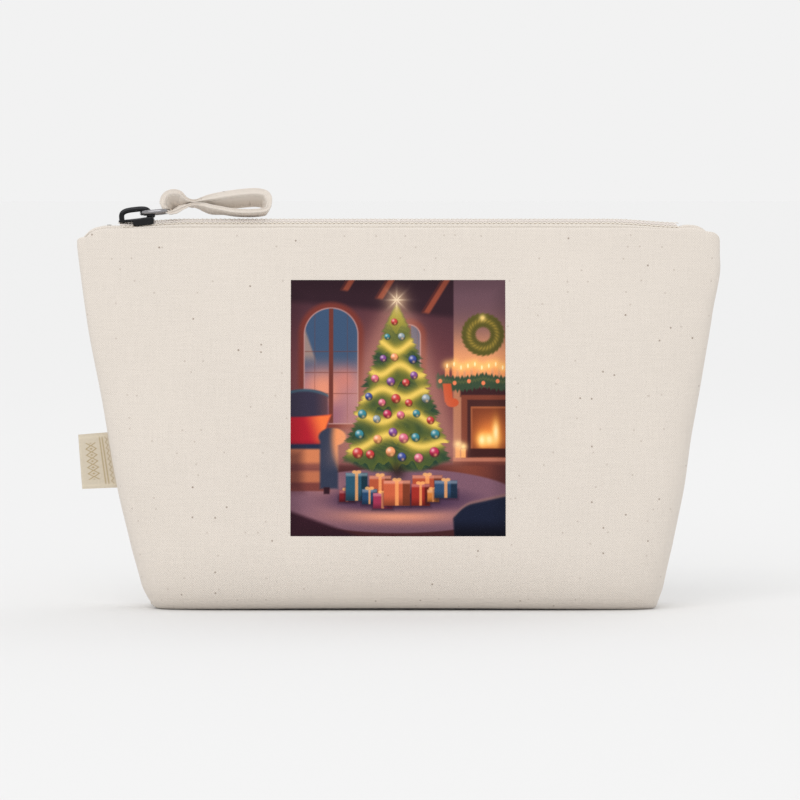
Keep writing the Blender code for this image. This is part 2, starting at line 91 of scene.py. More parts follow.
class Shape:
    # points, faces and point attributes gathered for one piece
    def __init__(self):
        self.points = []
        self.faces = []
        self.fields = {}
        self.count = 0

    def add(self, grid, closeRows=False, closeColumns=False, flip=False, caps=(), **fields):
        # one grid more, closed round its rows or columns if asked, with its attributes
        rows, columns = grid.shape[:2]
        made = quads(rows, columns, closeRows, closeColumns, self.count)
        self.faces += (made[:, ::-1] if flip else made).tolist()
        for row in caps:  # one flat face closes the first or the last row
            ring = self.count + np.arange(columns) + (row % rows) * columns
            wayUp = (row == 0) != flip
            self.faces.append((ring[::-1] if wayUp else ring).tolist())
        self.points.append(grid.reshape(-1, 3))
        for name, values in fields.items():
            self.fields.setdefault(name, []).append(values.reshape(rows * columns, -1))
        self.count += rows * columns

    def build(self, name, finish, sharp=40.0):
        # the mesh and its object, smooth but for edges sharper than an angle in degrees
        mesh = bpy.data.meshes.new(name)
        mesh.from_pydata(np.concatenate(self.points).tolist(), [], self.faces)
        for field, parts in self.fields.items():
            values = np.concatenate(parts)
            if values.shape[1] == 4:
                layer = mesh.color_attributes.new(field, "FLOAT_COLOR", "POINT")
                layer.data.foreach_set("color", values.astype(np.float32).ravel())
            else:
                layer = mesh.attributes.new(field, "FLOAT_VECTOR", "POINT")
                layer.data.foreach_set("vector", values.astype(np.float32).ravel())
        mesh.shade_smooth()
        mesh.set_sharp_from_angle(angle=math.radians(sharp))
        mesh.update()
        piece = bpy.data.objects.new(name, mesh)
        bpy.context.scene.collection.objects.link(piece)
        mesh.materials.append(finish)
        return piece


def gridNormals(grid):
    # cross product of the grid's two directions at each point
    alongRow = np.gradient(grid, axis=1)
    upColumn = np.gradient(grid, axis=0)
    return unit(np.cross(alongRow, upColumn))


def addCloth(shape, grid, thickness, place, flip=False):
    # the outer face, the same face moved in along its normals, and strips that join their four edges
    normals = gridNormals(grid) * (-1.0 if flip else 1.0)
    inner = grid - normals * thickness
    shape.add(grid, flip=flip, clothPlace=place)
    shape.add(inner, flip=not flip, clothPlace=place)
    edges = [(np.s_[0, :], False), (np.s_[-1, :], True), (np.s_[:, 0], True), (np.s_[:, -1], False)]
    for cut, turned in edges:
        strip = np.stack([inner[cut], grid[cut]])
        places = np.stack([place[cut], place[cut]])
        shape.add(strip, flip=(turned != flip), clothPlace=places)


def sweep(shape, path, section, across, closed=False, fields=None):
    # a section carried along a path: each of its points is path + x * side + y * normal, where side is
    # the across direction made square to the path, and normal is square to both
    if closed:
        forward = unit(np.roll(path, -1, 0) - np.roll(path, 1, 0))
    else:
        forward = unit(np.gradient(path, axis=0))
    side = np.broadcast_to(np.asarray(across, float), path.shape)
    side = unit(side - forward * (side * forward).sum(1, keepdims=True))
    normal = np.cross(forward, side)
    section = np.broadcast_to(section, (len(path),) + section.shape[-2:])
    grid = path[:, None] + section[..., :1] * side[:, None] + section[..., 1:] * normal[:, None]
    shape.add(grid, closeRows=closed, closeColumns=True, caps=() if closed else (0, -1), **(fields or {}))
    return normal


def roundSection(halfWidth, halfHeight, power=2.0, count=12):
    # a superellipse: cosine and sine of the angle, each raised to 2 / power
    angle = np.linspace(0.0, 2 * math.pi, count, endpoint=False)
    x = halfWidth * signedPower(np.cos(angle), 2 / power)
    y = halfHeight * signedPower(np.sin(angle), 2 / power)
    return np.stack([x, y], 1)


def pillow(centre, half, power, around, up):
    # a superellipsoid: a superellipse round the upright, drawn in by another over the height
    a = np.linspace(0.0, 2 * math.pi, around, endpoint=False)[None, :]
    b = np.linspace(-math.pi / 2 + 0.02, math.pi / 2 - 0.02, up)[:, None]
    drawn = signedPower(np.cos(b), 2 / power)
    x = drawn * signedPower(np.cos(a), 2 / power) * half[0]
    y = drawn * signedPower(np.sin(a), 2 / power) * half[1]
    z = signedPower(np.sin(b), 2 / power) * half[2] + 0 * a
    return np.stack([x, y, z], -1) + np.asarray(centre)


def tilt(points, pivot, degrees):
    # turned about the Y direction through the pivot, so that +X goes up for a positive angle
    a = math.radians(degrees)
    x = points[..., 0] - pivot[0]
    z = points[..., 2] - pivot[2]
    turned = points.copy()
    turned[..., 0] = pivot[0] + x * math.cos(a) - z * math.sin(a)
    turned[..., 2] = pivot[2] + x * math.sin(a) + z * math.cos(a)
    return turned


class Term:
    # one output socket, so that shader sums read as sums
    def __init__(self, finish, socket):
        self.finish = finish
        self.socket = socket

    def maths(self, operation, *others):
        # a Math node with this term in its first input
        values = {k + 1: other for k, other in enumerate(others)}
        return self.finish.node("ShaderNodeMath", {"operation": operation}, {0: self, **values})

    def __add__(self, other):
        return self.maths("ADD", other)

    def __mul__(self, other):
        return self.maths("MULTIPLY", other)

    def __sub__(self, other):
        return self.maths("SUBTRACT", other)

    def __rsub__(self, other):
        return (self * -1.0).maths("ADD", other)

    def __gt__(self, other):
        return self.maths("GREATER_THAN", other)

    __radd__ = __add__
    __rmul__ = __mul__

    def sine(self):
        return self.maths("SINE")

    def other(self, output):
        # another output of the same node
        return Term(self.finish, self.socket.node.outputs[output])

    def between(self, low, high):
        # 0 below low, 1 above high, smooth between them
        settings = {"interpolation_type": "SMOOTHSTEP"}
        return self.finish.node("ShaderNodeMapRange", settings, {0: self, 1: low, 2: high})


class Finish:
    # one material: a Principled shader, its fixed values, and the nodes that feed it
    def __init__(self, name, fixed=None):
        self.material = bpy.data.materials.new(name)
        self.material.use_nodes = True
        self.tree = self.material.node_tree
        self.shader = self.tree.nodes["Principled BSDF"]
        self.feed(fixed or {})

    def node(self, kind, settings=None, inputs=None, output=0):
        # a node of a kind: its settings first, then the values or links of its inputs
        made = self.tree.nodes.new(kind)
        for key, value in (settings or {}).items():
            setattr(made, key, value)
        for key, value in (inputs or {}).items():
            self.join(made.inputs[key], value)
        return Term(self, made.outputs[output])

    def join(self, socket, value):
        # a link from a term, or a plain value set on the socket
        if isinstance(value, Term):
            self.tree.links.new(value.socket, socket)
        elif isinstance(value, tuple) and len(value) == 3 and socket.type == "RGBA":
            socket.default_value = (*value, 1.0)
        else:
            socket.default_value = value

    def feed(self, values):
        # values and links for the shader's own sockets
        for key, value in values.items():
            self.join(self.shader.inputs[key], value)

    def attribute(self, name, output):
        # the piece's own numbers of that name
        return self.node("ShaderNodeAttribute", {"attribute_name": name}, None, output)

    def mix(self, factor, a, b, blend="MIX"):
        # colour a where the factor is 0, colour b where it is 1
        settings = {"data_type": "RGBA", "blend_type": blend}
        return self.node("ShaderNodeMix", settings, {0: factor, 6: a, 7: b}, 2)

    def axes(self, place):
        # the three numbers of a place
        split = self.node("ShaderNodeSeparateXYZ", None, {0: place})
        return split, split.other(1), split.other(2)

    def noise(self, place, scale, detail=2.0, stretch=None):
        # cloudy values round 0.5, drawn out by a scale on each axis if asked
        if stretch:
            place = self.node("ShaderNodeMapping", None, {"Vector": place, "Scale": stretch})
        inputs = {"Vector": place, "Scale": scale, "Detail": detail}
        return self.node("ShaderNodeTexNoise", None, inputs)

    def bump(self, height, depth, strength=1.0):
        # a normal bent by a height of that depth in metres
        inputs = {"Height": height, "Distance": depth, "Strength": strength}
        return self.node("ShaderNodeBump", None, inputs)


def linear(colour):
    # the linear light of a display colour given out of 255
    c = np.asarray(colour, float) / 255.0
    return tuple(np.where(c <= 0.04045, c / 12.92, ((c + 0.055) / 1.055) ** 2.4))


def clothFinish(name, look):
    # plain weave: warp and weft cross as the product of two sines, with slubs, shade and seed flecks
    fixed = {"Roughness": look["roughness"], "Sheen Weight": look["sheen"], "Sheen Roughness": 0.5}
    made = Finish(name, {**fixed, "Specular IOR Level": 0.2})
    place = made.attribute("clothPlace", "Vector")
    u, v, _ = made.axes(place)
    wobble = made.noise(place, 60.0, 3.0) - 0.5
    turn = math.pi / look["thread"]
    across = (u * turn + wobble * 1.5).sine()
    upward = (v * turn + wobble * 1.5).sine()
    weave = across * upward
    fine = 1 / look["thread"] * 0.9
    slubU = made.noise(place, 1.0, 2.0, (fine, 60.0, 1.0))
    slubV = made.noise(place, 1.0, 2.0, (60.0, fine, 1.0))
    slubs = slubU + slubV - 1.0
    cloud = made.noise(place, 22.0, 3.0) - 0.5
    grain = made.noise(place, 900.0, 2.0) - 0.5
    shade = weave * look["weaveShade"] + slubs * look["slubShade"] + cloud * look["cloudShade"]
    tone = made.node("ShaderNodeMapRange", None, {0: shade + grain * look["grainShade"], 1: -0.5, 2: 0.5})
    dark = tuple(c * 0.80 for c in look["colour"])
    light = tuple(min(c * 1.20, 1.0) for c in look["colour"])
    colour = made.mix(tone, dark, light)
    if look["flecks"]:
        inputs = {"Vector": place, "Scale": look["fleckCells"]}
        cells = made.node("ShaderNodeTexVoronoi", {"voronoi_dimensions": "2D"}, inputs)
        pick = made.node("ShaderNodeSeparateColor", None, {0: cells.other("Color")})
        near = 1.0 - cells.between(*look["fleckEdge"])
        kinds = ((pick, look["flecks"], 0.62), (pick.other(1), look["faintFlecks"], 0.26))
        for chance, share, strength in kinds:
            colour = made.mix((chance > 1.0 - share) * near * strength, colour, look["fleckColour"])
    height = weave * 0.5 + slubs * 0.6 + grain * 0.5
    made.feed({"Base Color": colour, "Normal": made.bump(height, look["bump"])})
    return made.material


canvasLook = dict(
    colour=linear((220, 211, 201)), roughness=0.92, sheen=0.15, thread=0.52 * mm, bump=0.10 * mm,
    weaveShade=0.15, slubShade=0.24, cloudShade=0.14, grainShade=0.10,
    # seed flecks: the share of cells that hold a dark or a faint one, the cells to a metre, its soft edge
    flecks=0.035, faintFlecks=0.12, fleckCells=210.0, fleckEdge=(0.04, 0.12),
    fleckColour=linear((112, 88, 70)))
tapeLook = dict(
    canvasLook, colour=linear((224, 216, 206)), thread=0.36 * mm, flecks=0.0, slubShade=0.10,
    bump=0.06 * mm)

canvas = clothFinish("ecruCanvas", canvasLook)
tapeWeave = clothFinish("zipTapeWeave", tapeLook)


def nylonFinish(name, colour):
    # moulded monofilament: a soft gloss with faint cloudiness along it
    made = Finish(name)
    place = made.node("ShaderNodeTexCoord", None, None, "Object")
    cloud = made.noise(place, 300.0, 2.0)
    made.feed({"Base Color": made.mix(cloud, tuple(c * 0.93 for c in colour), colour)})
    made.feed({"Roughness": cloud * 0.2 + 0.3})
    return made.material


def metalFinish(name, colour, roughness):
    # dark plated zinc: fine tumbling marks in its roughness, a little waviness in its skin
    made = Finish(name, {"Metallic": 1.0, "Coat Weight": 0.25, "Coat Roughness": 0.08})
    place = made.node("ShaderNodeTexCoord", None, None, "Object")
    marks = made.noise(place, 900.0, 4.0)
    waves = made.noise(place, 260.0, 1.0)
    made.feed({"Base Color": made.mix(marks, tuple(c * 0.75 for c in colour), colour)})
    made.feed({"Roughness": marks * 0.16 + (roughness - 0.08)})
    made.feed({"Normal": made.bump(waves, 0.05 * mm, 0.5)})
    return made.material


nylon = nylonFinish("zipNylon", linear((225, 216, 209)))
thread = nylonFinish("sewingThread", linear((229, 221, 210)))
gunmetal = metalFinish("gunmetalPlate", (0.018, 0.018, 0.02), 0.20)
ringSteel = metalFinish("ringSteel", (0.34, 0.33, 0.34), 0.18)
stopSteel = metalFinish("stopSteel", (0.52, 0.50, 0.47), 0.35)
print("finishes made")


pouch = dict(
    baseHalfWidth=106.8 * mm, seamSlope=0.255, seamBow=0.46, topHalfWidth=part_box("front_right_panel")[1][0],
    halfDepth=30.0 * mm, rimHalfDepth=8.0 * mm, bulge=2.5 * mm, foldHeight=5.0 * mm,
    rimHeight=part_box("front_panel")[1][2], rollHeight=29.0 * mm, rollIn=14.5 * mm,
    cornerHeight=11.0 * mm, cornerLeft=5.5 * mm, cornerRight=3.6 * mm,
    baseCorners=5.0, rimCorners=8.0, split=97.0 * mm, splitShare=0.42, thickness=0.75 * mm,
    blendEnd=5 * mm, arch=0.7 * mm, archHalf=100 * mm, archFade=30 * mm,
    hemRadius=0.95 * mm, hemDepth=12.0 * mm, seamGroove=1.0 * mm, grooveWidth=0.8 * mm,
    rimCornerStart=132.4 * mm, rimCornerLength=2.6 * mm, leftCornerDrop=1.2 * mm, rightCornerDrop=2.4 * mm,
    columns=100, wallRows=92, hemRows=11, insideRows=8,
    # the rim's height against distance from the middle, in mm
    leftRim=[(100, 160.2), (108, 159.9), (117, 159.8), (122, 160.0), (126, 159.4), (128.6, 158.8),
             (130.4, 157.6), (131.4, 156.4), (132.4, 156.1), (134, 156.3)],
    rightRim=[(100, 160.2), (108, 159.8), (115, 159.4), (119, 160.0), (122, 160.4), (125, 160.2),
              (127.6, 159.5), (129.2, 158.7), (131, 158.5), (134, 158.2)],
    # how far each side stands out of true, against height, in mm
    leftSway=[(0, -1.9), (12, -1.4), (28, -0.9), (48, -0.5), (86, -1.1), (122, -0.1), (160, 0.0)],
    rightSway=[(0, 2.7), (20, 2.1), (46, 1.8), (76, 0.4), (100, 0.5), (124, 0.8), (141, 1.7), (153, 0.3),
               (162, 0.0)])


def halfWidthAt(z):
    # a widening with height that eases off, cut at the top's half width
    return np.minimum(pouch["baseHalfWidth"] + pouch["seamSlope"] * z - pouch["seamBow"] * z * z,
                      pouch["topHalfWidth"])


def heightShare(z):
    # 0 at the base fold and below, 1 at the rim
    return np.clip((z - pouch["foldHeight"]) / (pouch["rimHeight"] - pouch["foldHeight"]), 0.0, 1.0)


def halfDepthAt(z):
    # a straight taper with a sine bulge
    share = heightShare(z)
    taper = pouch["halfDepth"] + (pouch["rimHalfDepth"] - pouch["halfDepth"]) * share
    return taper + pouch["bulge"] * np.sin(math.pi * share)


def cornersAt(z):
    # exponent of the plan, which grows with the fourth power of the height
    return pouch["baseCorners"] + (pouch["rimCorners"] - pouch["baseCorners"]) * heightShare(z) ** 4


def rolledIn(z, height):
    # a quarter circle's drawing in: 0 from the height up, 1 at the floor
    return 1.0 - np.sqrt(1.0 - np.clip(1.0 - z / height, 0.0, 1.0) ** 2)


def planPoint(u, z, inset, sideX):
    # (x, y) at a share u from the side seam (0) to the middle (1). Up to the split the angle of the plan's
    # superellipse grows as a power, which spaces the points evenly round the corner. Past it x is even
    n = cornersAt(z)
    lifted = np.maximum(z, pouch["foldHeight"])
    onRight = sideX > 0
    sway = np.where(onRight, along(pouch["rightSway"], z), along(pouch["leftSway"], z))
    corner = np.where(onRight, pouch["cornerRight"], pouch["cornerLeft"])
    width = halfWidthAt(lifted) + sway - inset - corner * rolledIn(z, pouch["cornerHeight"])
    depth = halfDepthAt(lifted) - inset - pouch["rollIn"] * rolledIn(z, pouch["rollHeight"])
    uSplit = pouch["splitShare"]
    full = np.arccos(np.clip(pouch["split"] / width, 0.0, 1.0) ** (n / 2))
    angle = full * np.clip(u / uSplit, 1e-6, 1.0) ** (n / 2)
    cornerX = width * np.cos(angle) ** (2 / n)
    cornerY = depth * np.sin(angle) ** (2 / n)
    middleX = pouch["split"] * (1.0 - np.clip((u - uSplit) / (1.0 - uSplit), 0.0, 1.0))
    middleY = depth * (1.0 - (middleX / width) ** n) ** (1 / n)
    x = np.where(u < uSplit, cornerX, middleX)
    y = np.where(u < uSplit, cornerY, middleY)
    return x, y * smooth(u / 0.004) + 0 * u


def ripple(x, z):
    # soft unevenness of standing canvas: three long sine waves, none near the base fold or the rim
    wave = 0.45 * np.sin(x / (23 * mm) + 0.8) * np.sin(z / (31 * mm) + 0.4)
    wave = wave + 0.30 * np.sin(x / (11 * mm) + z / (19 * mm))
    wave = wave + 0.22 * np.sin(x / (7.3 * mm) - z / (13 * mm) + 2.0)
    return wave * 0.55 * mm * smooth((z - 8 * mm) / (25 * mm)) * smooth((165 * mm - z) / (30 * mm))


def archAt(x, z):
    # the base lifts a little in the middle, and the lift fades up the wall
    lift = np.clip(1.0 - (x / pouch["archHalf"]) ** 2, 0.0, 1.0)
    return pouch["arch"] * lift * (1.0 - smooth(z / pouch["archFade"]))


def rimAt(x, sideX):
    # the rim's height, read off the side's own outline and rounded off at the corner as a quarter circle
    knots = np.asarray(pouch["rightRim"] if sideX > 0 else pouch["leftRim"]) * mm
    corner = np.clip((x - pouch["rimCornerStart"]) / pouch["rimCornerLength"], 0.0, 1.0)
    drop = pouch["rightCornerDrop"] if sideX > 0 else pouch["leftCornerDrop"]
    return np.interp(x, knots[:, 0], knots[:, 1]) - drop * (1.0 - np.sqrt(1.0 - corner ** 2))


def wallPoint(x, y, z, u, sideX, back):
    # the finished point: the side seam's groove, the ripple and the arch go on here
    groove = pouch["seamGroove"] * np.exp(-(y / pouch["grooveWidth"]) ** 2)
    groove = groove * (1.0 - smooth((u - 0.03) / 0.37))
    deep = y + ripple(sideX * x + (300 * mm if back else 0.0), z) * smooth(u / 0.3)
    return np.stack([sideX * (x - groove), (deep if back else -deep), z + archAt(x, z)], -1)


def shareColumns():
    # shares from the side seam to the middle, closer together at the seam
    t = np.linspace(0.0, 1.0, pouch["columns"])
    return t * (0.55 + 0.45 * t)


def bendWithMouth(piece):
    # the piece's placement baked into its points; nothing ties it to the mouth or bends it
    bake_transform(piece)


def backShift(back):
    # the back's cloth reads another part of the weave, in metres
    return 0.4 if back else 0.0


def wallPiece(name, sideX, back, nodes):
    # up the wall, over the hem as a half circle, and down inside
    u = shareColumns()[None, :]
    rimX, _ = planPoint(u, np.array(pouch["rimHeight"] - 2 * mm), 0.0, sideX)
    top = rimAt(rimX, sideX)
    r = pouch["hemRadius"]
    up = np.linspace(0.0, 1.0, pouch["wallRows"])[:, None]
    up = up * (0.35 + 0.65 * up)
    zUp = pouch["foldHeight"] + (top - r - pouch["foldHeight"]) * up
    turn = np.linspace(0.0, math.pi, pouch["hemRows"])[1:-1, None]
    zTurn = top - r + r * np.sin(turn)
    down = np.linspace(0.0, 1.0, pouch["insideRows"])[:, None]
    zDown = top - r - pouch["hemDepth"] * down
    z = np.concatenate([zUp, zTurn, zDown])
    inset = np.concatenate([0 * zUp, r * (1 - np.cos(turn)) + 0 * zTurn, 2 * r + 0 * zDown])
    x, y = planPoint(u, z, inset, sideX)
    grid = wallPoint(x, y, z, u, sideX, back)
    steps = np.linalg.norm(np.diff(grid, axis=1), axis=2)
    fromMiddle = np.concatenate([np.cumsum(steps[:, ::-1], 1)[:, ::-1], np.zeros((len(z), 1))], 1)
    weavePlace = np.stack([fromMiddle * sideX + backShift(back), z - inset, 0 * z], -1)
    shape = Shape()
    addCloth(shape, grid, pouch["thickness"], weavePlace, flip=(sideX > 0) != back)
    piece = shape.build(name, canvas)
    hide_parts(*nodes)
    bendWithMouth(piece)


for back, side, body in ((False, "front", "front_mouth"), (True, "back", "back_mouth")):
    for sideX, hand in ((-1, "left"), (1, "right")):
        nodes = (side + "_panel", side + "_" + hand + "_panel")
        wallPiece(side + "Wall" + hand.capitalize(), sideX, back, nodes)
print("walls made")


base = dict(
    flatRows=26, turnRows=16, tuckRows=6, tipReach=0.95, seamLift=0.5 * mm, cornerSeam=0.2 * mm,
    cornerSeamHeight=3.2 * mm, cornerSeamWidth=0.7 * mm, tuckStart=0.8 * mm, tuckLength=4.8 * mm,
    tuckInset=0.85 * mm)


def basePiece(name, back, node):
    # from the seam at y = 0 out across the flat base, then up the roll to the walls. Each seam is a bell
    # curve, and a tongue goes on past the fold, inside the wall
    side = shareColumns()
    u = np.concatenate([side, side[::-1][1:]])[None, :]
    sideX = np.concatenate([-np.ones(len(side)), np.ones(len(side) - 1)])[None, :]
    flat = np.linspace(0.0, 1.0, base["flatRows"])[:-1, None] ** 1.5
    edgeX, edgeY = planPoint(u, np.zeros((1, 1)), 0.0, sideX)
    tipX = np.where(sideX > 0, edgeX[:, -1:], edgeX[:, :1])
    tipShare = base["tipReach"] * (1 - u / pouch["splitShare"])
    innerX = np.where(u < pouch["splitShare"], pouch["split"] + (tipX - pouch["split"]) * tipShare, edgeX)
    xFlat = innerX + (edgeX - innerX) * flat
    yFlat = edgeY * flat
    zTurn = pouch["foldHeight"] * np.linspace(0.0, 1.0, base["turnRows"])[:, None] ** 2
    xTurn, yTurn = planPoint(u, zTurn, 0.0, sideX)
    x = np.concatenate([xFlat, xTurn])
    y = np.concatenate([yFlat, yTurn])
    z = np.concatenate([0 * xFlat, zTurn + 0 * xTurn])
    seam = base["seamLift"] * np.exp(-(y / pouch["grooveWidth"]) ** 2) * (z < 1e-6)
    cornerSeam = np.exp(-((z - base["cornerSeamHeight"]) / base["cornerSeamWidth"]) ** 2)
    cornerSeam = base["cornerSeam"] * cornerSeam * (1 - smooth((u - 0.2) / 0.15))
    grid = wallPoint(x - cornerSeam, y, z, u, sideX, back)
    grid[..., 2] += seam
    steps = np.linalg.norm(np.diff(grid, axis=0), axis=2)
    below = np.concatenate([np.cumsum(steps[::-1], 0)[::-1], np.zeros((1, grid.shape[1]))])
    across = (x + 4 * mm * (1 - u)) * sideX + backShift(back)
    shape = Shape()
    weavePlace = np.stack([across, pouch["foldHeight"] - below, 0 * z], -1)
    addCloth(shape, grid, pouch["thickness"], weavePlace, flip=back)
    tuck = np.linspace(0.0, 1.0, base["tuckRows"])[:, None]
    zTuck = pouch["foldHeight"] - base["tuckStart"] + base["tuckLength"] * tuck
    xTuck, yTuck = planPoint(u, zTuck, base["tuckInset"], sideX)
    tongue = wallPoint(xTuck, yTuck, zTuck + 0 * xTuck, u, sideX, back)
    weavePlace = np.stack([xTuck, zTuck + 0 * xTuck, 0 * xTuck], -1)
    addCloth(shape, tongue, pouch["thickness"], weavePlace, flip=back)
    piece = shape.build(name, canvas)
    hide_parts(node)
    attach(piece, "root")


basePiece("baseFront", False, "base_front")
basePiece("baseBack", True, "base_back")
print("base made")


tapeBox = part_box("front_tape")
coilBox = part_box("front_coil")
zipper = dict(
    pitch=1.92 * mm, wire=0.40 * mm, outer=3.3 * mm, head=0.42 * mm, end=118.0 * mm,
    coilMiddle=(coilBox[0][2] + coilBox[1][2]) / 2, coilHalfHeight=0.85 * mm,
    tapeTop=tapeBox[1][2], tapeLow=tapeBox[0][2], tapeThickness=0.5 * mm, tapeInner=0.9 * mm,
    tapeEnd=119.5 * mm, tapeInset=2.3 * mm, tapeBend=0.8 * mm, droop=1.7 * mm, droopStart=88 * mm,
    droopLength=34 * mm, turnPoints=16, stitchStep=0.16 * mm,
    coreOut=0.35 * mm, coreIn=0.25 * mm, coreDown=0.12 * mm, coreHalfHeight=0.62 * mm)
# each row of stitches: its distance from the middle, its height, how far it swings, and its thread's radius
stitchLines = [
    (2.3 * mm, zipper["coilMiddle"] + 0.9 * mm, 0.12 * mm, 0.16 * mm),
    (3.45 * mm, zipper["tapeTop"] + 0.38 * mm, 0.14 * mm, 0.46 * mm)]


def zipDroop(x):
    # the zip sinks a little towards its two ends
    return -zipper["droop"] * smooth((np.abs(x) - zipper["droopStart"]) / zipper["droopLength"])


def mouthAt(x, inset):
    # how far from the middle plane the rim's superellipse runs, drawn in by an inset
    n = pouch["rimCorners"]
    return (pouch["rimHalfDepth"] - inset) * (1 - (x / (pouch["topHalfWidth"] - inset)) ** n) ** (1 / n)


def tapePiece(name, sideX, back, nodes):
    # up inside the hem, round a small corner, and in towards the teeth
    x = np.linspace(zipper["tapeEnd"], 0.0, 100)[None, :]
    outerY = mouthAt(x, zipper["tapeInset"])
    rise = np.linspace(0.0, 1.0, 14)[:, None]
    r = zipper["tapeBend"]
    zUp = zipper["tapeLow"] + (zipper["tapeTop"] - r - zipper["tapeLow"]) * rise + 0 * x
    turn = np.linspace(0.0, math.pi / 2, 6)[1:, None]
    zTurn = zipper["tapeTop"] - r + r * np.sin(turn) + 0 * x
    inward = np.linspace(0.0, 1.0, 10)[1:, None]
    zIn = zipper["tapeTop"] + 0 * inward + 0 * x
    yUp = outerY + 0 * rise
    yTurn = outerY - r * (1 - np.cos(turn))
    yIn = outerY - r + (zipper["tapeInner"] - outerY + r) * inward
    z = np.concatenate([zUp, zTurn, zIn]) + zipDroop(x)
    y = np.concatenate([yUp, yTurn, yIn])
    full = x + 0 * z
    grid = np.stack([sideX * full, y if back else -y, z], -1)
    down = np.concatenate([[0.0], np.cumsum(np.hypot(np.diff(y[:, -1]), np.diff(z[:, -1])))])[:, None]
    weavePlace = np.stack([full * sideX, down + 0 * full, 0 * full], -1)
    shape = Shape()
    addCloth(shape, grid, zipper["tapeThickness"], weavePlace, flip=(sideX > 0) != back)
    piece = shape.build(name, tapeWeave)
    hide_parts(*nodes)
    bendWithMouth(piece)


def coilPiece(name, sideX, back, nodes):
    # a flattened helix: y swings between the outer bend and the head, z between the two legs, and x gains
    # one pitch a turn, most of it at the heads. A soft core cord fills the turns
    turns = int(zipper["end"] / zipper["pitch"]) - 1
    phase = np.arange(turns * zipper["turnPoints"] + 1) * (2 * math.pi / zipper["turnPoints"])
    shift = zipper["pitch"] * (0.5 if not back else 1.0 if sideX > 0 else 0.0)
    x = zipper["pitch"] * (phase + 0.6 * np.sin(phase)) / (2 * math.pi) + shift
    middle = (zipper["outer"] - zipper["wire"] - zipper["head"]) / 2
    reach = (zipper["outer"] - zipper["wire"] + zipper["head"]) / 2
    y = middle - reach * np.cos(phase)
    z = zipper["coilMiddle"] + (zipper["coilHalfHeight"] - zipper["wire"]) * np.sin(phase) + zipDroop(x)
    path = np.stack([sideX * x, y if back else -y, z], 1)
    shape = Shape()
    sweep(shape, path, roundSection(zipper["wire"], zipper["wire"], 2.0, 6), (1.0, 0.05, 0.0))
    coreX = np.linspace(0.0, zipper["end"] - 1 * mm, 160)
    coreY = (1.0 if back else -1.0) * (middle + zipper["coreOut"]) + 0 * coreX
    coreZ = zipper["coilMiddle"] - zipper["coreDown"] + zipDroop(coreX)
    core = np.stack([sideX * coreX, coreY, coreZ], 1)
    section = roundSection(reach - zipper["coreIn"], zipper["coreHalfHeight"], 3.0, 12)
    sweep(shape, core, section, (0, 1, 0))
    piece = shape.build(name, nylon, 60.0)
    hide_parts(*nodes)
    bendWithMouth(piece)


def zipStitches(name, sideX, back):
    # two rows of chain stitch that hold the teeth: a thread that dips between the teeth
    x = np.arange(0.0, zipper["end"], zipper["stitchStep"])
    dip = np.cos(2 * math.pi * x / zipper["pitch"])
    shape = Shape()
    for y, z, swing, radius in stitchLines:
        path = np.stack([sideX * x, (1 if back else -1) * (y + 0 * x), z + swing * dip + zipDroop(x)], 1)
        sweep(shape, path, roundSection(radius, radius, 2.0, 6), (0, 1, 0))
    piece = shape.build(name, thread, 60.0)
    bendWithMouth(piece)


for back, side, body in ((False, "front", "front_mouth"), (True, "back", "back_mouth")):
    for sideX, hand in ((-1, "left"), (1, "right")):
        tail = hand.capitalize()
        tapes = (side + "_tape", side + "_tape_" + hand + "_end")
        coils = (side + "_coil", side + "_coil_" + hand + "_end")
        tapePiece(side + "Tape" + tail, sideX, back, tapes)
        coilPiece(side + "Teeth" + tail, sideX, back, coils)
        zipStitches(side + "ZipStitch" + tail, sideX, back)
print("zip made")


stop = dict(
    halfWidth=0.9 * mm, halfThickness=0.35 * mm, rise=1.25 * mm, below=0.7 * mm,
    # each stop's piece, node, lift and step along the zip
    places=[("topStopFront", "top_stop_front", -0.5 * mm, -1.9 * mm),
            ("topStopBack", "top_stop_back", -0.5 * mm, -1.9 * mm),
            ("bottomStop", "bottom_stop", -0.9 * mm, 0.0)])


def stopPiece(name, node, lift, step):
    # a staple of flat wire bent over the tape: a half round path with a flattened section
    low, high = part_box(node)
    x = (low[0] + high[0]) / 2 + step
    angle = np.linspace(0.0, math.pi, 15)
    middle = (low[1] + high[1]) / 2
    reach = (high[1] - low[1]) / 2 - stop["halfThickness"]
    y = middle - reach * np.cos(angle)
    z = zipper["coilMiddle"] - stop["below"] + lift + stop["rise"] * np.sin(angle) ** 0.6 + zipDroop(x)
    path = np.stack([x + 0 * y, y, z + 0 * y], 1)
    shape = Shape()
    sweep(shape, path, roundSection(stop["halfWidth"], stop["halfThickness"], 4.0, 14), (1, 0, 0))
    piece = shape.build(name, stopSteel)
    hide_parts(node)
    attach(piece, "root")


for place in stop["places"]:
    stopPiece(*place)


zipEnd = dict(
    low=150.0 * mm, clear=2.05 * mm, widest=6.0 * mm, rows=40, around=24, crease=0.10,
    creaseDepth=1.5 * mm, creaseWidth=0.5 * mm,
    # each end's height against distance from the middle, in mm
    right=[(117.0, 160.0), (119.0, 161.1), (121.5, 161.4), (124.8, 161.2), (127.6, 160.3), (129.2, 159.0),
           (130.3, 157.7), (131.4, 156.6), (133.6, 155.6)],
    left=[(113.5, 159.4), (116.5, 160.9), (123.0, 161.1), (126.0, 160.5), (128.6, 159.8), (130.8, 158.1),
          (131.9, 156.4), (133.6, 154.8)])


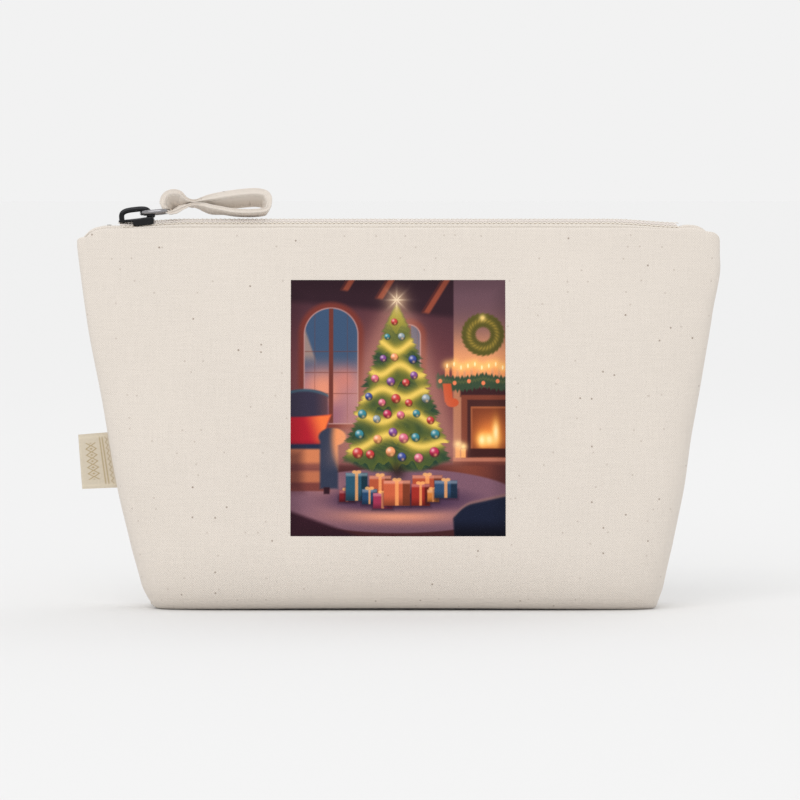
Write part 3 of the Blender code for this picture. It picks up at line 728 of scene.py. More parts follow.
def tabPiece(name, sideX, node, outline):
    # the zip's end folded down between the walls: a soft loaf, superelliptic across, whose top follows an
    # outline evened by a moving mean, and whose width closes at both ends as the root of a cut sine
    knots = np.array(outline) * mm
    rows = zipEnd["rows"]
    x = knots[0, 0] + (knots[-1, 0] - knots[0, 0]) * np.linspace(0.0, 1.0, rows)
    top = np.interp(x, knots[:, 0], knots[:, 1])
    top = np.convolve(np.pad(top, 3, mode="edge"), np.ones(7) / 7, mode="valid")[:, None]
    angle = np.linspace(0.0, 2 * math.pi, zipEnd["around"], endpoint=False)
    close = np.clip(np.sin(math.pi * np.linspace(0.004, 0.996, rows)) * 5, 0.02, 1.0) ** 0.5
    half = (np.minimum(mouthAt(x, 0.0) - zipEnd["clear"], zipEnd["widest"]) * close)[:, None]
    centre = (top + zipEnd["low"]) / 2
    reach = (top - zipEnd["low"]) / 2
    y = half * signedPower(np.cos(angle), 0.45)[None, :]
    z = centre + reach * signedPower(np.sin(angle), 0.30)[None, :]
    crease = np.exp(-((z - top + zipEnd["creaseDepth"]) / zipEnd["creaseWidth"]) ** 2)
    y = y * (1 - zipEnd["crease"] * crease)
    grid = np.stack([sideX * x[:, None] + 0 * y, y, z], -1)
    shape = Shape()
    weavePlace = np.stack([x[:, None] + 0 * y, z + np.abs(y), 0 * y], -1)
    shape.add(grid, closeColumns=True, caps=(0, -1), flip=sideX > 0, clothPlace=weavePlace)
    piece = shape.build(name, canvas)
    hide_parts(node)
    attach(piece, "root")


tabPiece("rightZipEnd", 1, "right_zip_end_tab", zipEnd["right"])
tabPiece("leftZipEnd", -1, "left_zip_end_tab", zipEnd["left"])
print("zip ends made")


sliderLow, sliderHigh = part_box("slider_body")
slider = dict(
    middle=(sliderLow[0] + sliderHigh[0]) / 2, length=sliderHigh[0] - sliderLow[0], halfWidth=sliderHigh[1],
    topLow=163.75 * mm, topHigh=164.9 * mm, topRounding=0.45 * mm, dome=0.25 * mm, domeAbove=164.3 * mm,
    underLow=160.2 * mm, underHigh=161.0 * mm, underScale=0.97, underRounding=0.35 * mm,
    tilt=6.5, sink=1.1 * mm, noseIn=0.30, rearIn=0.08,
    # the side flanges: middle, half size, and each ring's scale and height
    flangeMiddle=(3.0 * mm, 4.12 * mm), flangeHalf=(4.4 * mm, 0.5 * mm),
    flangeRings=[(0.75, 161.75 * mm), (1.0, 162.1 * mm), (1.0, 164.2 * mm), (0.8, 164.85 * mm)],
    postX=-5.6 * mm, postHalf=(1.5 * mm, 0.28 * mm), postHeights=(160.2 * mm, 164.2 * mm),
    heel=(6.3 * mm, 0.0, 166.1 * mm), heelHalf=(1.9 * mm, 1.75 * mm, 1.7 * mm),
    crownTop=sliderHigh[2] + 0.8 * mm, crownStrip=2.3 * mm, crownWidth=3.0 * mm, crownBase=165.4 * mm,
    crownHalf=5.9 * mm, crownShift=0.1 * mm, crownSunk=0.4 * mm)


def ringsOf(outlines, heights):
    # each flat outline lifted to its height
    return np.stack([np.insert(flat, 2, z, axis=1) for flat, z in zip(outlines, heights)])


def slab(outline, low, high, rounding):
    # a flat plate: its outline drawn in round the top and bottom edges as a quarter circle
    inward = unit(np.stack([outline[:, 0] * 0.35, outline[:, 1]], 1))
    turn = np.linspace(0.0, math.pi / 2, 5)
    rings = [(rounding * (1 - np.sin(t)), low + rounding * (1 - np.cos(t))) for t in turn]
    rings += [(rounding * (1 - np.cos(t)), high - rounding * (1 - np.sin(t))) for t in turn]
    rings = [(rounding * 3, low)] + rings + [(rounding * 3, high)]
    return ringsOf([outline - inward * inset for inset, _ in rings], [z for _, z in rings])


def onSlider(grid):
    # moved to the slider's place, tilted with it and sunk on to the teeth
    pivot = (slider["middle"], 0.0, slider["topLow"])
    moved = tilt(grid + np.array([slider["middle"], 0.0, 0.0]), pivot, slider["tilt"])
    moved[..., 2] -= slider["sink"]
    return moved


def plateOutline():
    # a superellipse whose width narrows to the nose and a little to the rear
    angle = np.linspace(0.0, 2 * math.pi, 64, endpoint=False)
    x = slider["length"] / 2 * signedPower(np.cos(angle), 0.5)
    narrow = 1.0 - slider["noseIn"] * smooth((-x - 1.5 * mm) / (5.0 * mm))
    narrow = narrow - slider["rearIn"] * smooth((x - 3 * mm) / (4 * mm))
    return np.stack([x, slider["halfWidth"] * narrow * signedPower(np.sin(angle), 0.45)], 1)


def crownPath():
    # up from the plate, over as a flattened half circle, and down
    arc = np.linspace(math.pi, 0.0, 41)
    x = slider["crownHalf"] * signedPower(np.cos(arc), 0.62) - slider["crownShift"]
    rise = slider["crownTop"] - slider["crownStrip"] / 2 - slider["crownBase"]
    z = slider["crownBase"] + rise * np.sin(arc) ** 0.55
    foot = slider["topHigh"] - slider["crownSunk"]
    footX = np.array([-1, 1]) * slider["crownHalf"] - slider["crownShift"]
    return np.concatenate([[[footX[0], 0, foot]], np.stack([x, 0 * x, z], 1), [[footX[1], 0, foot]]])


def sliderPiece():
    # a plate with narrowed nose over a plate like it, side flanges at the rear, a post between, and a crown
    outline = plateOutline()
    top = slab(outline, slider["topLow"], slider["topHigh"], slider["topRounding"])
    dome = slider["dome"] * (1 - (top[..., 1] / slider["halfWidth"]) ** 2)
    top[..., 2] += dome * (top[..., 2] > slider["domeAbove"])
    lower = outline * slider["underScale"]
    solids = [top, slab(lower, slider["underLow"], slider["underHigh"], slider["underRounding"])]
    around = np.linspace(0.0, 2 * math.pi, 28, endpoint=False)
    halfX, halfY = slider["flangeHalf"]
    for side in (-1, 1):
        middle = np.array(slider["flangeMiddle"]) * (1, side)
        flangeX = halfX * signedPower(np.cos(around), 0.35)
        flange = np.stack([flangeX, halfY * signedPower(np.sin(around), 0.6)], 1)
        outlines = [flange * scale + middle for scale, _ in slider["flangeRings"]]
        solids.append(ringsOf(outlines, [z for _, z in slider["flangeRings"]]))
    post = np.stack([np.cos(around), np.sin(around)], 1) * slider["postHalf"] + (slider["postX"], 0.0)
    solids.append(ringsOf([post, post], slider["postHeights"]))
    solids.append(pillow(slider["heel"], slider["heelHalf"], 3.6, 28, 14))
    shape = Shape()
    for solid in solids:
        shape.add(onSlider(solid), closeColumns=True, caps=(0, -1))
    section = roundSection(slider["crownWidth"] / 2, slider["crownStrip"] / 2, 3.2, 18)
    sweep(shape, onSlider(crownPath()), section, (0, 1, 0))
    piece = shape.build("zipSlider", gunmetal, 50.0)
    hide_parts("slider_body")
    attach(piece, "slider")


sliderPiece()


def softened(corners, passes):
    # each pass cuts every corner of a closed outline at a quarter and three quarters of its sides
    points = np.asarray(corners, float)
    for _ in range(passes):
        ahead = np.roll(points, -1, 0)
        cut = [points * 0.75 + ahead * 0.25, points * 0.25 + ahead * 0.75]
        points = np.stack(cut, 1).reshape(-1, points.shape[1])
    return points


ring = dict(
    near=-107.9 * mm, far=-96.4 * mm, neck=2.9 * mm, wide=5.4 * mm, shoulder=3.8 * mm,
    low=166.0 * mm, rise=1.0 * mm, lean=0.075, wire=0.9 * mm)


def ringPiece():
    # round wire carried along a softened outline, narrow under the crown and wide at the strap
    near, far, neck, wide = (ring[key] for key in ("near", "far", "neck", "wide"))
    shoulder = near + ring["shoulder"]
    corners = [(near, -neck), (shoulder, -wide), (far, -wide), (far, wide), (shoulder, wide), (near, neck)]
    flat = softened(corners, 4)
    z = ring["low"] + (flat[:, 0] - near) / (far - near) * ring["rise"] - flat[:, 1] * ring["lean"]
    path = np.stack([flat[:, 0], flat[:, 1], z], 1)
    shape = Shape()
    sweep(shape, path, roundSection(ring["wire"], ring["wire"], 2.0, 16), (0, 0, 1), closed=True)
    piece = shape.build("pullRing", ringSteel)
    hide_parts("pull_ring")
    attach(piece, "pull_ring")


ringPiece()


strap = dict(
    halfWidth=4.3 * mm, eyeThick=2.5 * mm, highThick=3.3 * mm, lowThick=2.3 * mm, thin=1.4 * mm,
    waist=-86.5 * mm, waistReach=5.5 * mm, roll=-28.0, waistRoll=20.0, pivot=168.0 * mm,
    eyeTaper=4.2 * mm, loopTaper=2.3 * mm, alongCount=280, aroundCount=44,
    thickFrom=167.5 * mm, ringAt=-97.0 * mm, ringReach=4 * mm, ringBelow=168.5 * mm,
    rowOut=3.0 * mm, notch=0.17, quilt=0.12, quiltWidth=0.35 * mm,
    # the front edge's middle line, in mm: the long loop from its upper side round to the lower, and the eye
    outline=[(-82.5, 171.2), (-78, 172.0), (-71.5, 173.3), (-65.1, 174.2), (-59.5, 174.5), (-55.4, 173.3),
             (-54.0, 169.8), (-55.0, 166.0), (-60, 164.9), (-66.5, 164.9), (-71.5, 165.5), (-78, 167.1),
             (-82.2, 168.8), (-86.5, 169.5), (-90.2, 167.2), (-93.2, 164.9), (-96.0, 164.1),
             (-98.3, 165.7), (-99.4, 169.2), (-98.2, 172.7), (-95.2, 174.4), (-91.6, 174.0),
             (-88.9, 171.8), (-86.0, 170.9)])


def strapPath(count):
    # a periodic spline through the outline: each span is a cubic in its four nearest knots
    knots = np.array(strap["outline"]) * mm
    spans = len(knots)
    t = np.linspace(0.0, spans, count, endpoint=False)
    k = t.astype(int)
    f = (t - k)[:, None]
    p0, p1, p2, p3 = (knots[(k + d) % spans] for d in (-1, 0, 1, 2))
    curve = 0.5 * (2 * p1 + (p2 - p0) * f + (2 * p0 - 5 * p1 + 4 * p2 - p3) * f ** 2
                   + (3 * p1 - p0 - 3 * p2 + p3) * f ** 3)
    return np.stack([curve[:, 0], 0 * curve[:, 0], curve[:, 1]], 1)


def nearWaist(x):
    # a bell curve about the waist
    return np.exp(-((x - strap["waist"]) / strap["waistReach"]) ** 2)


def rollStrap(points):
    # turned about the strap's length, so that its front edge stands higher than its back edge. The turn
    # eases off towards the waist
    a = np.radians(strap["roll"] + strap["waistRoll"] * nearWaist(points[..., 0]))
    y, z = points[..., 1], points[..., 2] - strap["pivot"]
    turned = points.copy()
    turned[..., 1] = y * np.cos(a) - z * np.sin(a)
    turned[..., 2] = strap["pivot"] + y * np.sin(a) + z * np.cos(a)
    return turned


def strapPiece():
    # a folded band: a rounded oblong section with a groove in each edge, thinner at the waist and the ring
    path = strapPath(strap["alongCount"])
    x, z = path[:, 0], path[:, 2]
    inLoop = smooth((x - strap["waist"]) / (6 * mm))
    high = smooth((z - strap["thickFrom"]) / (5 * mm))
    loopThick = strap["lowThick"] + (strap["highThick"] - strap["lowThick"]) * high
    full = strap["eyeThick"] + (loopThick - strap["eyeThick"]) * inLoop
    atRing = np.exp(-((x - strap["ringAt"]) / strap["ringReach"]) ** 2) * (z < strap["ringBelow"])
    thin = np.clip(nearWaist(x) + atRing * 0.7, 0.0, 1.0)
    half = (full + (strap["thin"] - full) * thin) / 2
    angle = np.linspace(0.0, 2 * math.pi, strap["aroundCount"], endpoint=False)
    notch = 1.0 - strap["notch"] * np.exp(-(np.sin(angle) / 0.20) ** 2)
    wide = strap["halfWidth"] * signedPower(np.cos(angle), 0.30) * notch
    tall = signedPower(np.sin(angle), 0.45)
    quilt = 1.0 - strap["quilt"] * np.exp(-((np.abs(wide) - strap["rowOut"]) / strap["quiltWidth"]) ** 2)
    eyeShare = smooth((strap["waist"] - x) / (4 * mm))
    loopShare = smooth((x - strap["waist"] - 4 * mm) / (10 * mm))
    taper = strap["eyeTaper"] * eyeShare + strap["loopTaper"] * loopShare
    rear = (wide / strap["halfWidth"] + 1.0) / 2  # 0 at the front edge, 1 at the back edge
    inward = taper[:, None] * rear[None, :]
    section = np.stack([np.broadcast_to(wide, inward.shape), tall * quilt * half[:, None] - inward], -1)
    length = np.concatenate([[0], np.cumsum(np.linalg.norm(np.diff(path, axis=0), axis=1))])
    around = np.cumsum(np.hypot(*np.diff(np.stack([wide, tall * 1.3 * mm]), axis=1, append=0)))
    weavePlace = np.stack(np.broadcast_arrays(length[:, None] + 0.8, around[None, :], 0.0), -1)
    shape = Shape()
    normal = sweep(shape, path, section, (0, 1, 0), closed=True, fields={"clothPlace": weavePlace})
    shape.points[0] = rollStrap(shape.points[0])
    piece = shape.build("pullStrap", canvas, 70.0)
    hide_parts("pull_loop")
    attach(piece, "pull_loop")
    return path, normal, half, taper


stitch = dict(pitch=2.5 * mm, start=1.0 * mm, halfLength=0.85 * mm, thread=0.17 * mm, sunk=0.90)


def stitchRows(path, normal, half, taper):
    # short thread capsules laid along both faces of the strap, near each edge: a circle carried along each
    # and drawn in at its ends as the root of a cubic
    steps = np.linalg.norm(np.diff(path, axis=0, append=path[:1]), axis=1)
    length = np.concatenate([[0], np.cumsum(steps)])
    closed = [np.concatenate([values, values[:1]]) for values in (path, normal, half, taper)]
    closedPath, closedNormal, closedHalf, closedTaper = closed
    angle = np.linspace(0.0, 2 * math.pi, 6, endpoint=False)[None, :, None]
    capsule = np.linspace(-1.0, 1.0, 7)
    fat = np.sqrt(np.clip(1.0 - np.abs(capsule) ** 3, 0.02, 1.0))
    shape = Shape()
    for row in (-1, 1):
        for face in (-1, 1):
            for start in np.arange(0.0, length[-1], stitch["pitch"]):
                s = start + stitch["start"] + capsule * stitch["halfLength"]
                at = np.stack([np.interp(s, length, closedPath[:, k]) for k in range(3)], 1)
                out = unit(np.stack([np.interp(s, length, closedNormal[:, k]) for k in range(3)], 1))
                lift = np.interp(s, length, closedHalf) * stitch["sunk"]
                drawnIn = -np.interp(s, length, closedTaper) * (0.85 if row > 0 else 0.15)
                middle = at + out * (face * lift + drawnIn)[:, None]
                middle = middle + np.array([0, row * strap["rowOut"], 0])
                circle = np.cos(angle) * out[:, None] + np.sin(angle) * np.array([0, 1.0, 0])
                grid = middle[:, None] + circle * (stitch["thread"] * fat)[:, None, None]
                shape.add(rollStrap(grid), closeColumns=True, caps=(0, -1))
    piece = shape.build("strapStitches", thread, 60.0)
    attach(piece, "pull_loop")


stitchRows(*strapPiece())
print("slider, ring and strap made")


def ribbonFinish():
    # satin ribbon: fine ribs across it under painted thread colours
    made = Finish("labelRibbon", {"Roughness": 0.55, "Sheen Weight": 0.2})
    tint = made.attribute("threadColour", "Color")
    placed = made.attribute("clothPlace", "Vector")
    u, v, _ = made.axes(placed)
    rib = (v * (2 * math.pi / (0.38 * mm))).sine()
    cross = (u * (2 * math.pi / (0.5 * mm))).sine()
    grain = made.noise(placed, 1200.0, 2.0)
    shade = made.mix(grain, (0.86, 0.86, 0.86), (1.0, 1.0, 1.0))
    made.feed({"Base Color": made.mix(1.0, tint, shade, "MULTIPLY")})
    made.feed({"Normal": made.bump(rib * 0.5 + cross * 0.25 + grain * 0.6, 0.06 * mm)})
    return made.material


label = dict(
    # the seam end's and the outer edge's lower and upper corners; the seam end sits in the seam
    low=50.0 * mm, high=73.5 * mm, inSeam=0.9 * mm, rootLow=50.6 * mm, rootHigh=73.9 * mm,
    tipLow=(-132.5 * mm, 0.0, 50.0 * mm), tipHigh=(-134.2 * mm, 0.0, 72.9 * mm),
    halfGap=0.42 * mm, curl=0.9 * mm, thickness=0.28 * mm, rows=120, columns=70,
    ground=(217, 205, 184), gold=(164, 136, 74), pale=(230, 219, 196))


def labelPaint(a, b):
    # a is 0..1 out from the seam, b is 0..1 up: a lattice of diamonds between two lines, in gold on ecru
    ground, gold, pale = (np.array(linear(label[key])) for key in ("ground", "gold", "pale"))
    x, y = a * 12.0, b * 23.0
    cell = np.abs(((y - 11.5) / 2.6 + 0.5) % 1.0 - 0.5) * 2.6 + np.abs(x - 8.2) * 0.72
    lattice = np.exp(-((cell - 1.35) / 0.22) ** 2) * (np.abs(y - 11.5) < 7.8)
    dot = np.exp(-(cell / 0.45) ** 2) * (np.abs(y - 11.5) < 7.8)
    stripe = np.exp(-((x - 3.6) / 0.25) ** 2) + np.exp(-((x - 4.6) / 0.25) ** 2)
    wave = np.exp(-((x - 2.2 - 0.35 * np.sin(y * 2 * math.pi / 2.3)) / 0.22) ** 2)
    border = (stripe * 0.8 + wave * 0.7) * (np.abs(y - 11.5) < 10.0)
    gilt = np.clip(lattice + dot + border, 0.0, 1.0)[..., None]
    band = (np.exp(-((y - 21.6) / 0.5) ** 2) + np.exp(-((y - 1.4) / 0.5) ** 2))[..., None] * 0.5
    colour = ground + (gold - ground) * gilt * 0.85
    colour = colour + (pale - colour) * np.clip(band, 0, 1)
    return np.concatenate([colour, np.ones_like(colour[..., :1])], -1)


def labelPiece():
    # a ribbon folded at its outer edge: a flat U whose two leaves run from the seam out and back
    ends = ((label["low"], label["rootLow"]), (label["high"], label["rootHigh"]))
    seamX = [halfWidthAt(z) + along(pouch["leftSway"], z) - label["inSeam"] for z, _ in ends]
    low, high = (np.array([-x, 0.0, z]) for x, (_, z) in zip(seamX, ends))
    tipLow, tipHigh = (np.array(label[key]) for key in ("tipLow", "tipHigh"))
    rows = np.linspace(0.0, 1.0, label["rows"])[:, None]
    out = np.linspace(0.0, 1.0, label["columns"])
    fold = np.linspace(-math.pi / 2, math.pi / 2, 9)[1:-1]
    half = label["halfGap"]
    reach = np.concatenate([out, 1.0 + 0.03 * np.cos(fold), out[::-1]])
    leaf = np.concatenate([-half + 0 * out, half * np.sin(fold), half + 0 * out])
    a, b = reach[None, :] + 0 * rows, rows + 0 * reach[None, :]
    root = low + (high - low) * b[..., None]
    tip = tipLow + (tipHigh - tipLow) * b[..., None]
    grid = root + (tip - root) * a[..., None]
    curl = label["curl"] * np.sin(math.pi * 0.5 * a) * np.sin(2.2 * b + 0.4) * a
    grid[..., 1] += leaf[None, :] * (1.0 + 0.25 * np.sin(math.pi * a)) - curl
    shape = Shape()
    weavePlace = np.stack([a * 12 * mm, b * 23 * mm, 0 * a], -1)
    addCloth(shape, grid, label["thickness"], weavePlace)
    colours = labelPaint(np.minimum(a, 1.0), b)
    edges = [colours[cut] for cut in (np.s_[0, :], np.s_[-1, :], np.s_[:, 0], np.s_[:, -1])]
    painted = [colours, colours] + [np.stack([e, e]) for e in edges]
    shape.fields["threadColour"] = [c.reshape(-1, 4) for c in painted]
    piece = shape.build("seamLabel", ribbonFinish())
    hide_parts("side_label")
    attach(piece, "side_label")


labelPiece()
print("label made")


pictureSize = (45.0, 107.5)  # the picture's half width and its height, in mm


def over(ground, colour, mask):
    # the colour laid over the ground where the mask is 1
    return ground + (np.asarray(colour, float) - ground) * np.clip(mask, 0.0, 1.0)[..., None]


def soft(distance, width):
    # 1 well inside (distance below zero), 0 outside, with a soft edge
    return smooth(0.5 - distance / width)


class Picture:
    # colours laid on points x, y, in millimetres from the middle of the picture's bottom edge
    def __init__(self, x, y, image):
        self.x = x
        self.y = y
        self.image = image

    def lay(self, colour, mask):
        # one coat of a colour
        self.image = over(self.image, colour, mask)

    def oval(self, cx, cy, rx, ry, width=0.08):
        # inside an ellipse
        return soft(np.hypot((self.x - cx) / rx, (self.y - cy) / ry) - 1.0, width)

    def oblong(self, left, right, low, high, width=0.5):
        # inside a box with edges soft over a width
        aside = np.maximum(left - self.x, self.x - right)
        return soft(np.maximum(aside, np.maximum(low - self.y, self.y - high)), width)

    def glow(self, cx, cy, radius):
        # a round light that fades as a bell curve
        return np.exp(-((self.x - cx) ** 2 + (self.y - cy) ** 2) / radius ** 2)

    def arched(self, middle, half, low, high, width=0.6):
        # inside a window shape: an oblong whose top is a half circle
        away = np.hypot(self.x - middle, np.maximum(self.y - (high - half), 0.0)) - half
        return soft(np.maximum(away, low - self.y), width)

    def blocks(self, rows):
        # oblongs laid one over another
        for colour, *box, strength in rows:
            self.lay(colour, self.oblong(*box) * strength)


def paintWalls(art):
    # the sloping ceiling with its beams, and the wall below it
    x, y = art.x, art.y
    art.lay((122, 74, 76), art.glow(-12, 60, 34) * 0.8)
    art.lay((48, 32, 42), soft(98.5 - 0.10 * (x + 45) - y, 4.0) * (x < 24))
    for foot, end in ((-22.5, 103.0), (-8.0, 99.5), (11.5, 93.5)):
        lean = (x - foot) - (y - end) * 0.62
        below = soft(end - 0.2 * (x - foot) - y, 1.6)
        art.lay((136, 72, 56), soft(np.abs(lean) - 1.7, 1.2) * below)
        art.lay((74, 40, 42), soft(np.abs(lean + 1.5) - 0.6, 1.0) * below)


def paintWindows(art):
    # two round-headed windows on an evening sky, with glazing bars
    x, y = art.x, art.y
    for middle, half, low, high in ((-28.0, 13.6, 45.0, 98.0), (4.5, 7.2, 58.0, 91.0)):
        art.lay((112, 56, 50), art.arched(middle, half, low, high, 2.6))
        sky = over(np.zeros(x.shape + (3,)) + (58, 84, 116), (150, 112, 130), smooth((76 - y) / 14))
        sky = over(sky, (222, 150, 118), art.glow(middle - 3, 62, 8) * 0.9)
        sky = over(sky, (196, 128, 116), art.glow(middle + 6, 66, 5) * 0.8)
        sky = over(sky, (140, 98, 116), smooth((58 - y) / 8) * 0.8)
        slope = soft(x - middle + 6.5 + (y - 74) * 0.35, 1.6)
        sky = over(sky, (196, 158, 132), slope * soft(74 - y, 6.0) * 0.6)
        glass = art.arched(middle, half - 2.6, low + 2.4, high - 2.6)
        art.lay((198, 176, 178), art.arched(middle, half - 2.2, low + 2.0, high - 2.2, 0.8) * 0.8)
        art.lay(sky, glass)
        bars = soft(np.abs(x - middle) - 0.9, 0.5)
        for bar in (59.8, 68.6, 77.4):
            bars = np.maximum(bars, soft(np.abs(y - bar) - 0.15, 0.5) * 0.7)
        for aside in (-0.5, 0.5):
            bars = np.maximum(bars, soft(np.abs(x - middle - aside * half) - 0.1, 0.5) * 0.5)
        art.lay((104, 56, 50), bars * glass)


# colour, left, right, low, high, softness of the edge, strength
hearthStones = [
    ((186, 130, 96), 23.0, 26.6, 31.0, 62.0, 1.2, 0.8), ((58, 34, 38), 26.0, 46.0, 58.5, 62.5, 1.2, 1.0),
    ((116, 64, 50), 26.4, 46.0, 32.0, 59.2, 0.8, 1.0), ((66, 38, 38), 28.9, 46.0, 33.0, 57.2, 0.8, 1.0),
    ((150, 90, 60), 30.3, 46.0, 36.2, 54.4, 0.5, 1.0), ((112, 58, 40), 31.0, 46.0, 36.2, 53.6, 0.8, 1.0)]
hearthFoot = [
    ((60, 32, 32), 30.0, 46.0, 33.4, 36.8, 0.8, 1.0), ((110, 62, 54), 23.0, 46.0, 28.6, 32.6, 0.8, 1.0),
    ((188, 126, 104), 23.0, 46.0, 31.4, 33.0, 0.8, 0.8)]
chairSeat = [
    ((34, 46, 72), -47, -29, 35.5, 38.6, 1.2, 1.0), ((112, 62, 58), -47, -28.4, 19.0, 29.0, 1.0, 1.0),
    ((176, 110, 80), -47, -29.0, 22.6, 28.0, 1.6, 1.0), ((196, 126, 88), -47, -29.0, 28.4, 36.6, 1.4, 1.0),
    ((112, 66, 66), -47, -29.0, 27.4, 30.6, 2.4, 0.8), ((70, 40, 46), -47, -40.0, 19.0, 36.0, 6.0, 0.6)]


def paintHearth(art):
    # chimney breast, wreath, mantel with garland and candles, stocking, fire
    x, y = art.x, art.y
    breast = soft(23.2 - x, 0.8)
    art.lay((98, 76, 88), breast)
    art.lay((224, 160, 112), breast * np.exp(-((y - 73) / 13) ** 2) * 0.95)
    art.lay((96, 62, 66), breast * soft(y - 64.0, 3.0) * 0.5)
    away = np.hypot(x - 35.5, y - 84.5)
    needles = 0.5 + 0.5 * np.sin(np.arctan2(y - 84.5, x - 35.5) * 26 + away * 2.6)
    art.lay((84, 84, 40), soft(np.abs(away - 6.0) - 2.7 - 0.4 * needles, 1.2))
    art.lay((160, 142, 62), soft(np.abs(away - 5.9) - 0.8, 1.9) * (0.35 + 0.45 * needles))
    art.lay((250, 226, 140), art.glow(35.3, 91.5, 1.3) * 0.9)
    art.blocks(hearthStones)
    art.lay((218, 128, 62), art.glow(38.5, 43.0, 7.0) * soft(30.8 - x, 0.6) * 0.95)
    for cx, cy, wide, tall in ((37.8, 40.6, 4.4, 3.2), (40.8, 43.4, 1.7, 5.6), (35.0, 40.4, 2.0, 3.0)):
        flame = np.exp(-(((x - cx) / wide) ** 2 + ((y - cy) / tall) ** 2)) * soft(31.0 - x, 0.6)
        art.lay((255, 182, 76), flame)
        art.lay((255, 240, 180), flame ** 2.2)
    art.blocks(hearthFoot)
    for cx, tall in ((24.9, 37.6), (27.2, 36.6)):
        art.lay((240, 176, 104), art.oblong(cx - 1.0, cx + 1.0, 33.0, tall, 0.6))
        art.lay((255, 232, 160), art.glow(cx, tall + 1.0, 1.6))
    for k in range(9):
        cx = 20.5 + 2.9 * k
        tall = 70.4 + 0.8 * math.sin(k * 2.1)
        art.lay((236, 156, 98), art.oblong(cx - 0.9, cx + 0.9, 67.0, tall, 0.6) * 0.8)
        art.lay((255, 208, 118), art.glow(cx, tall + 1.2, 2.0) * 0.8)
        art.lay((255, 240, 190), art.oval(cx, tall + 1.0, 0.35, 0.9, 0.8))
    wavy = 65.4 - 1.6 * np.abs(np.sin((x - 15) / 6.6)) + 0.3 * np.sin(x * 5)
    art.lay((54, 76, 58), soft(np.abs(y - wavy) - 2.9 - 0.4 * np.sin(x * 3.1), 1.3) * soft(16.0 - x, 1.8))
    art.lay((104, 112, 66), soft(np.abs(y - wavy - 0.8) - 0.4, 1.8) * soft(17.5 - x, 1.8) * 0.6)
    for k in range(5):
        art.lay((226, 130, 90), art.oval(17.6 + 6.0 * k, 65.0 - 0.8 * (k % 2), 0.8, 0.9, 0.4))
    leg = soft(np.abs(x - 20.6 - (62 - y) * 0.12) - 1.8, 0.9) * art.oblong(16, 28, 56.0, 64.0, 0.8)
    foot = art.oval(22.6, 56.0, 2.7, 1.9, 0.3)
    art.lay((188, 82, 50), np.maximum(leg, foot))


def paintFloor(art):
    # dark boards, a round rug and the pool of light on it
    x, y = art.x, art.y
    art.lay((70, 38, 42), soft(y - 30.0, 2.0))
    art.lay((128, 70, 54), soft(y - 30.0, 2.0) * art.glow(30, 28, 12) * 0.8)
    rug = art.oval(0.0, 15.0, 52.0, 13.5, 0.06)
    art.lay((116, 88, 106), rug)
    pool = np.exp(-((x + 1) / 24) ** 2 - ((y - 8.6) / 3.2) ** 2)
    art.lay((214, 150, 122), rug * pool * 0.95)
    art.lay((158, 116, 118), art.glow(-30.0, 19.0, 8.0) * rug * 0.7)
    art.lay((62, 46, 74), art.oval(0.0, 15.5, 29.0, 5.0, 0.9) * 0.85)
    art.lay((48, 26, 38), soft(y - 10.5 + 0.36 * (x + 45), 2.4) * (x < 0))


def paintChair(art):
    # a wing chair with a red cushion at the left, lit from its right
    x, y = art.x, art.y
    back = np.maximum(art.oblong(-47, -29.4, 36, 58.5, 1.8), art.oval(-39, 58.2, 9.8, 3.4, 0.2))
    art.lay((52, 50, 70), back)
    art.lay((112, 76, 76), back * smooth((x + 36) / 8) * 0.7)
    rim = soft(np.abs(y - 61.2 + 0.024 * (x + 39) ** 2) - 0.4, 1.6) * (x < -29) * (y > 55)
    art.lay((66, 104, 122), rim * 0.9)
    tip = (x + 45) / 15.5
    cushion = soft(np.abs(y - 44.0 - 0.5 * tip) - 5.9 - 0.9 * np.abs(tip - 0.35) ** 2, 1.2)
    cushion = cushion * soft(x + 30.5 - 0.06 * (y - 44) ** 2 * 0.3 - 0.25 * (y - 44), 1.4)
    art.lay((164, 32, 48), cushion)
    art.lay((238, 128, 66), cushion * smooth((x + 39.0 - 0.3 * (44 - y)) / 9.0) * 0.9)
    art.lay((90, 22, 46), cushion * smooth((41.0 - y) / 4.0) * 0.6)
    art.blocks(chairSeat)
    arm = np.maximum(art.oblong(-32.6, -25.0, 20.0, 42.0, 1.6), art.oval(-27.4, 41.6, 5.8, 3.8, 0.25))
    art.lay((48, 58, 80), arm)
    art.lay((232, 150, 92), arm * smooth((x + 29.6 - 0.02 * (y - 41) ** 2) / 4.4))
    art.lay((44, 24, 34), art.oblong(-31.0, -28.6, 17.8, 20.6, 0.8))


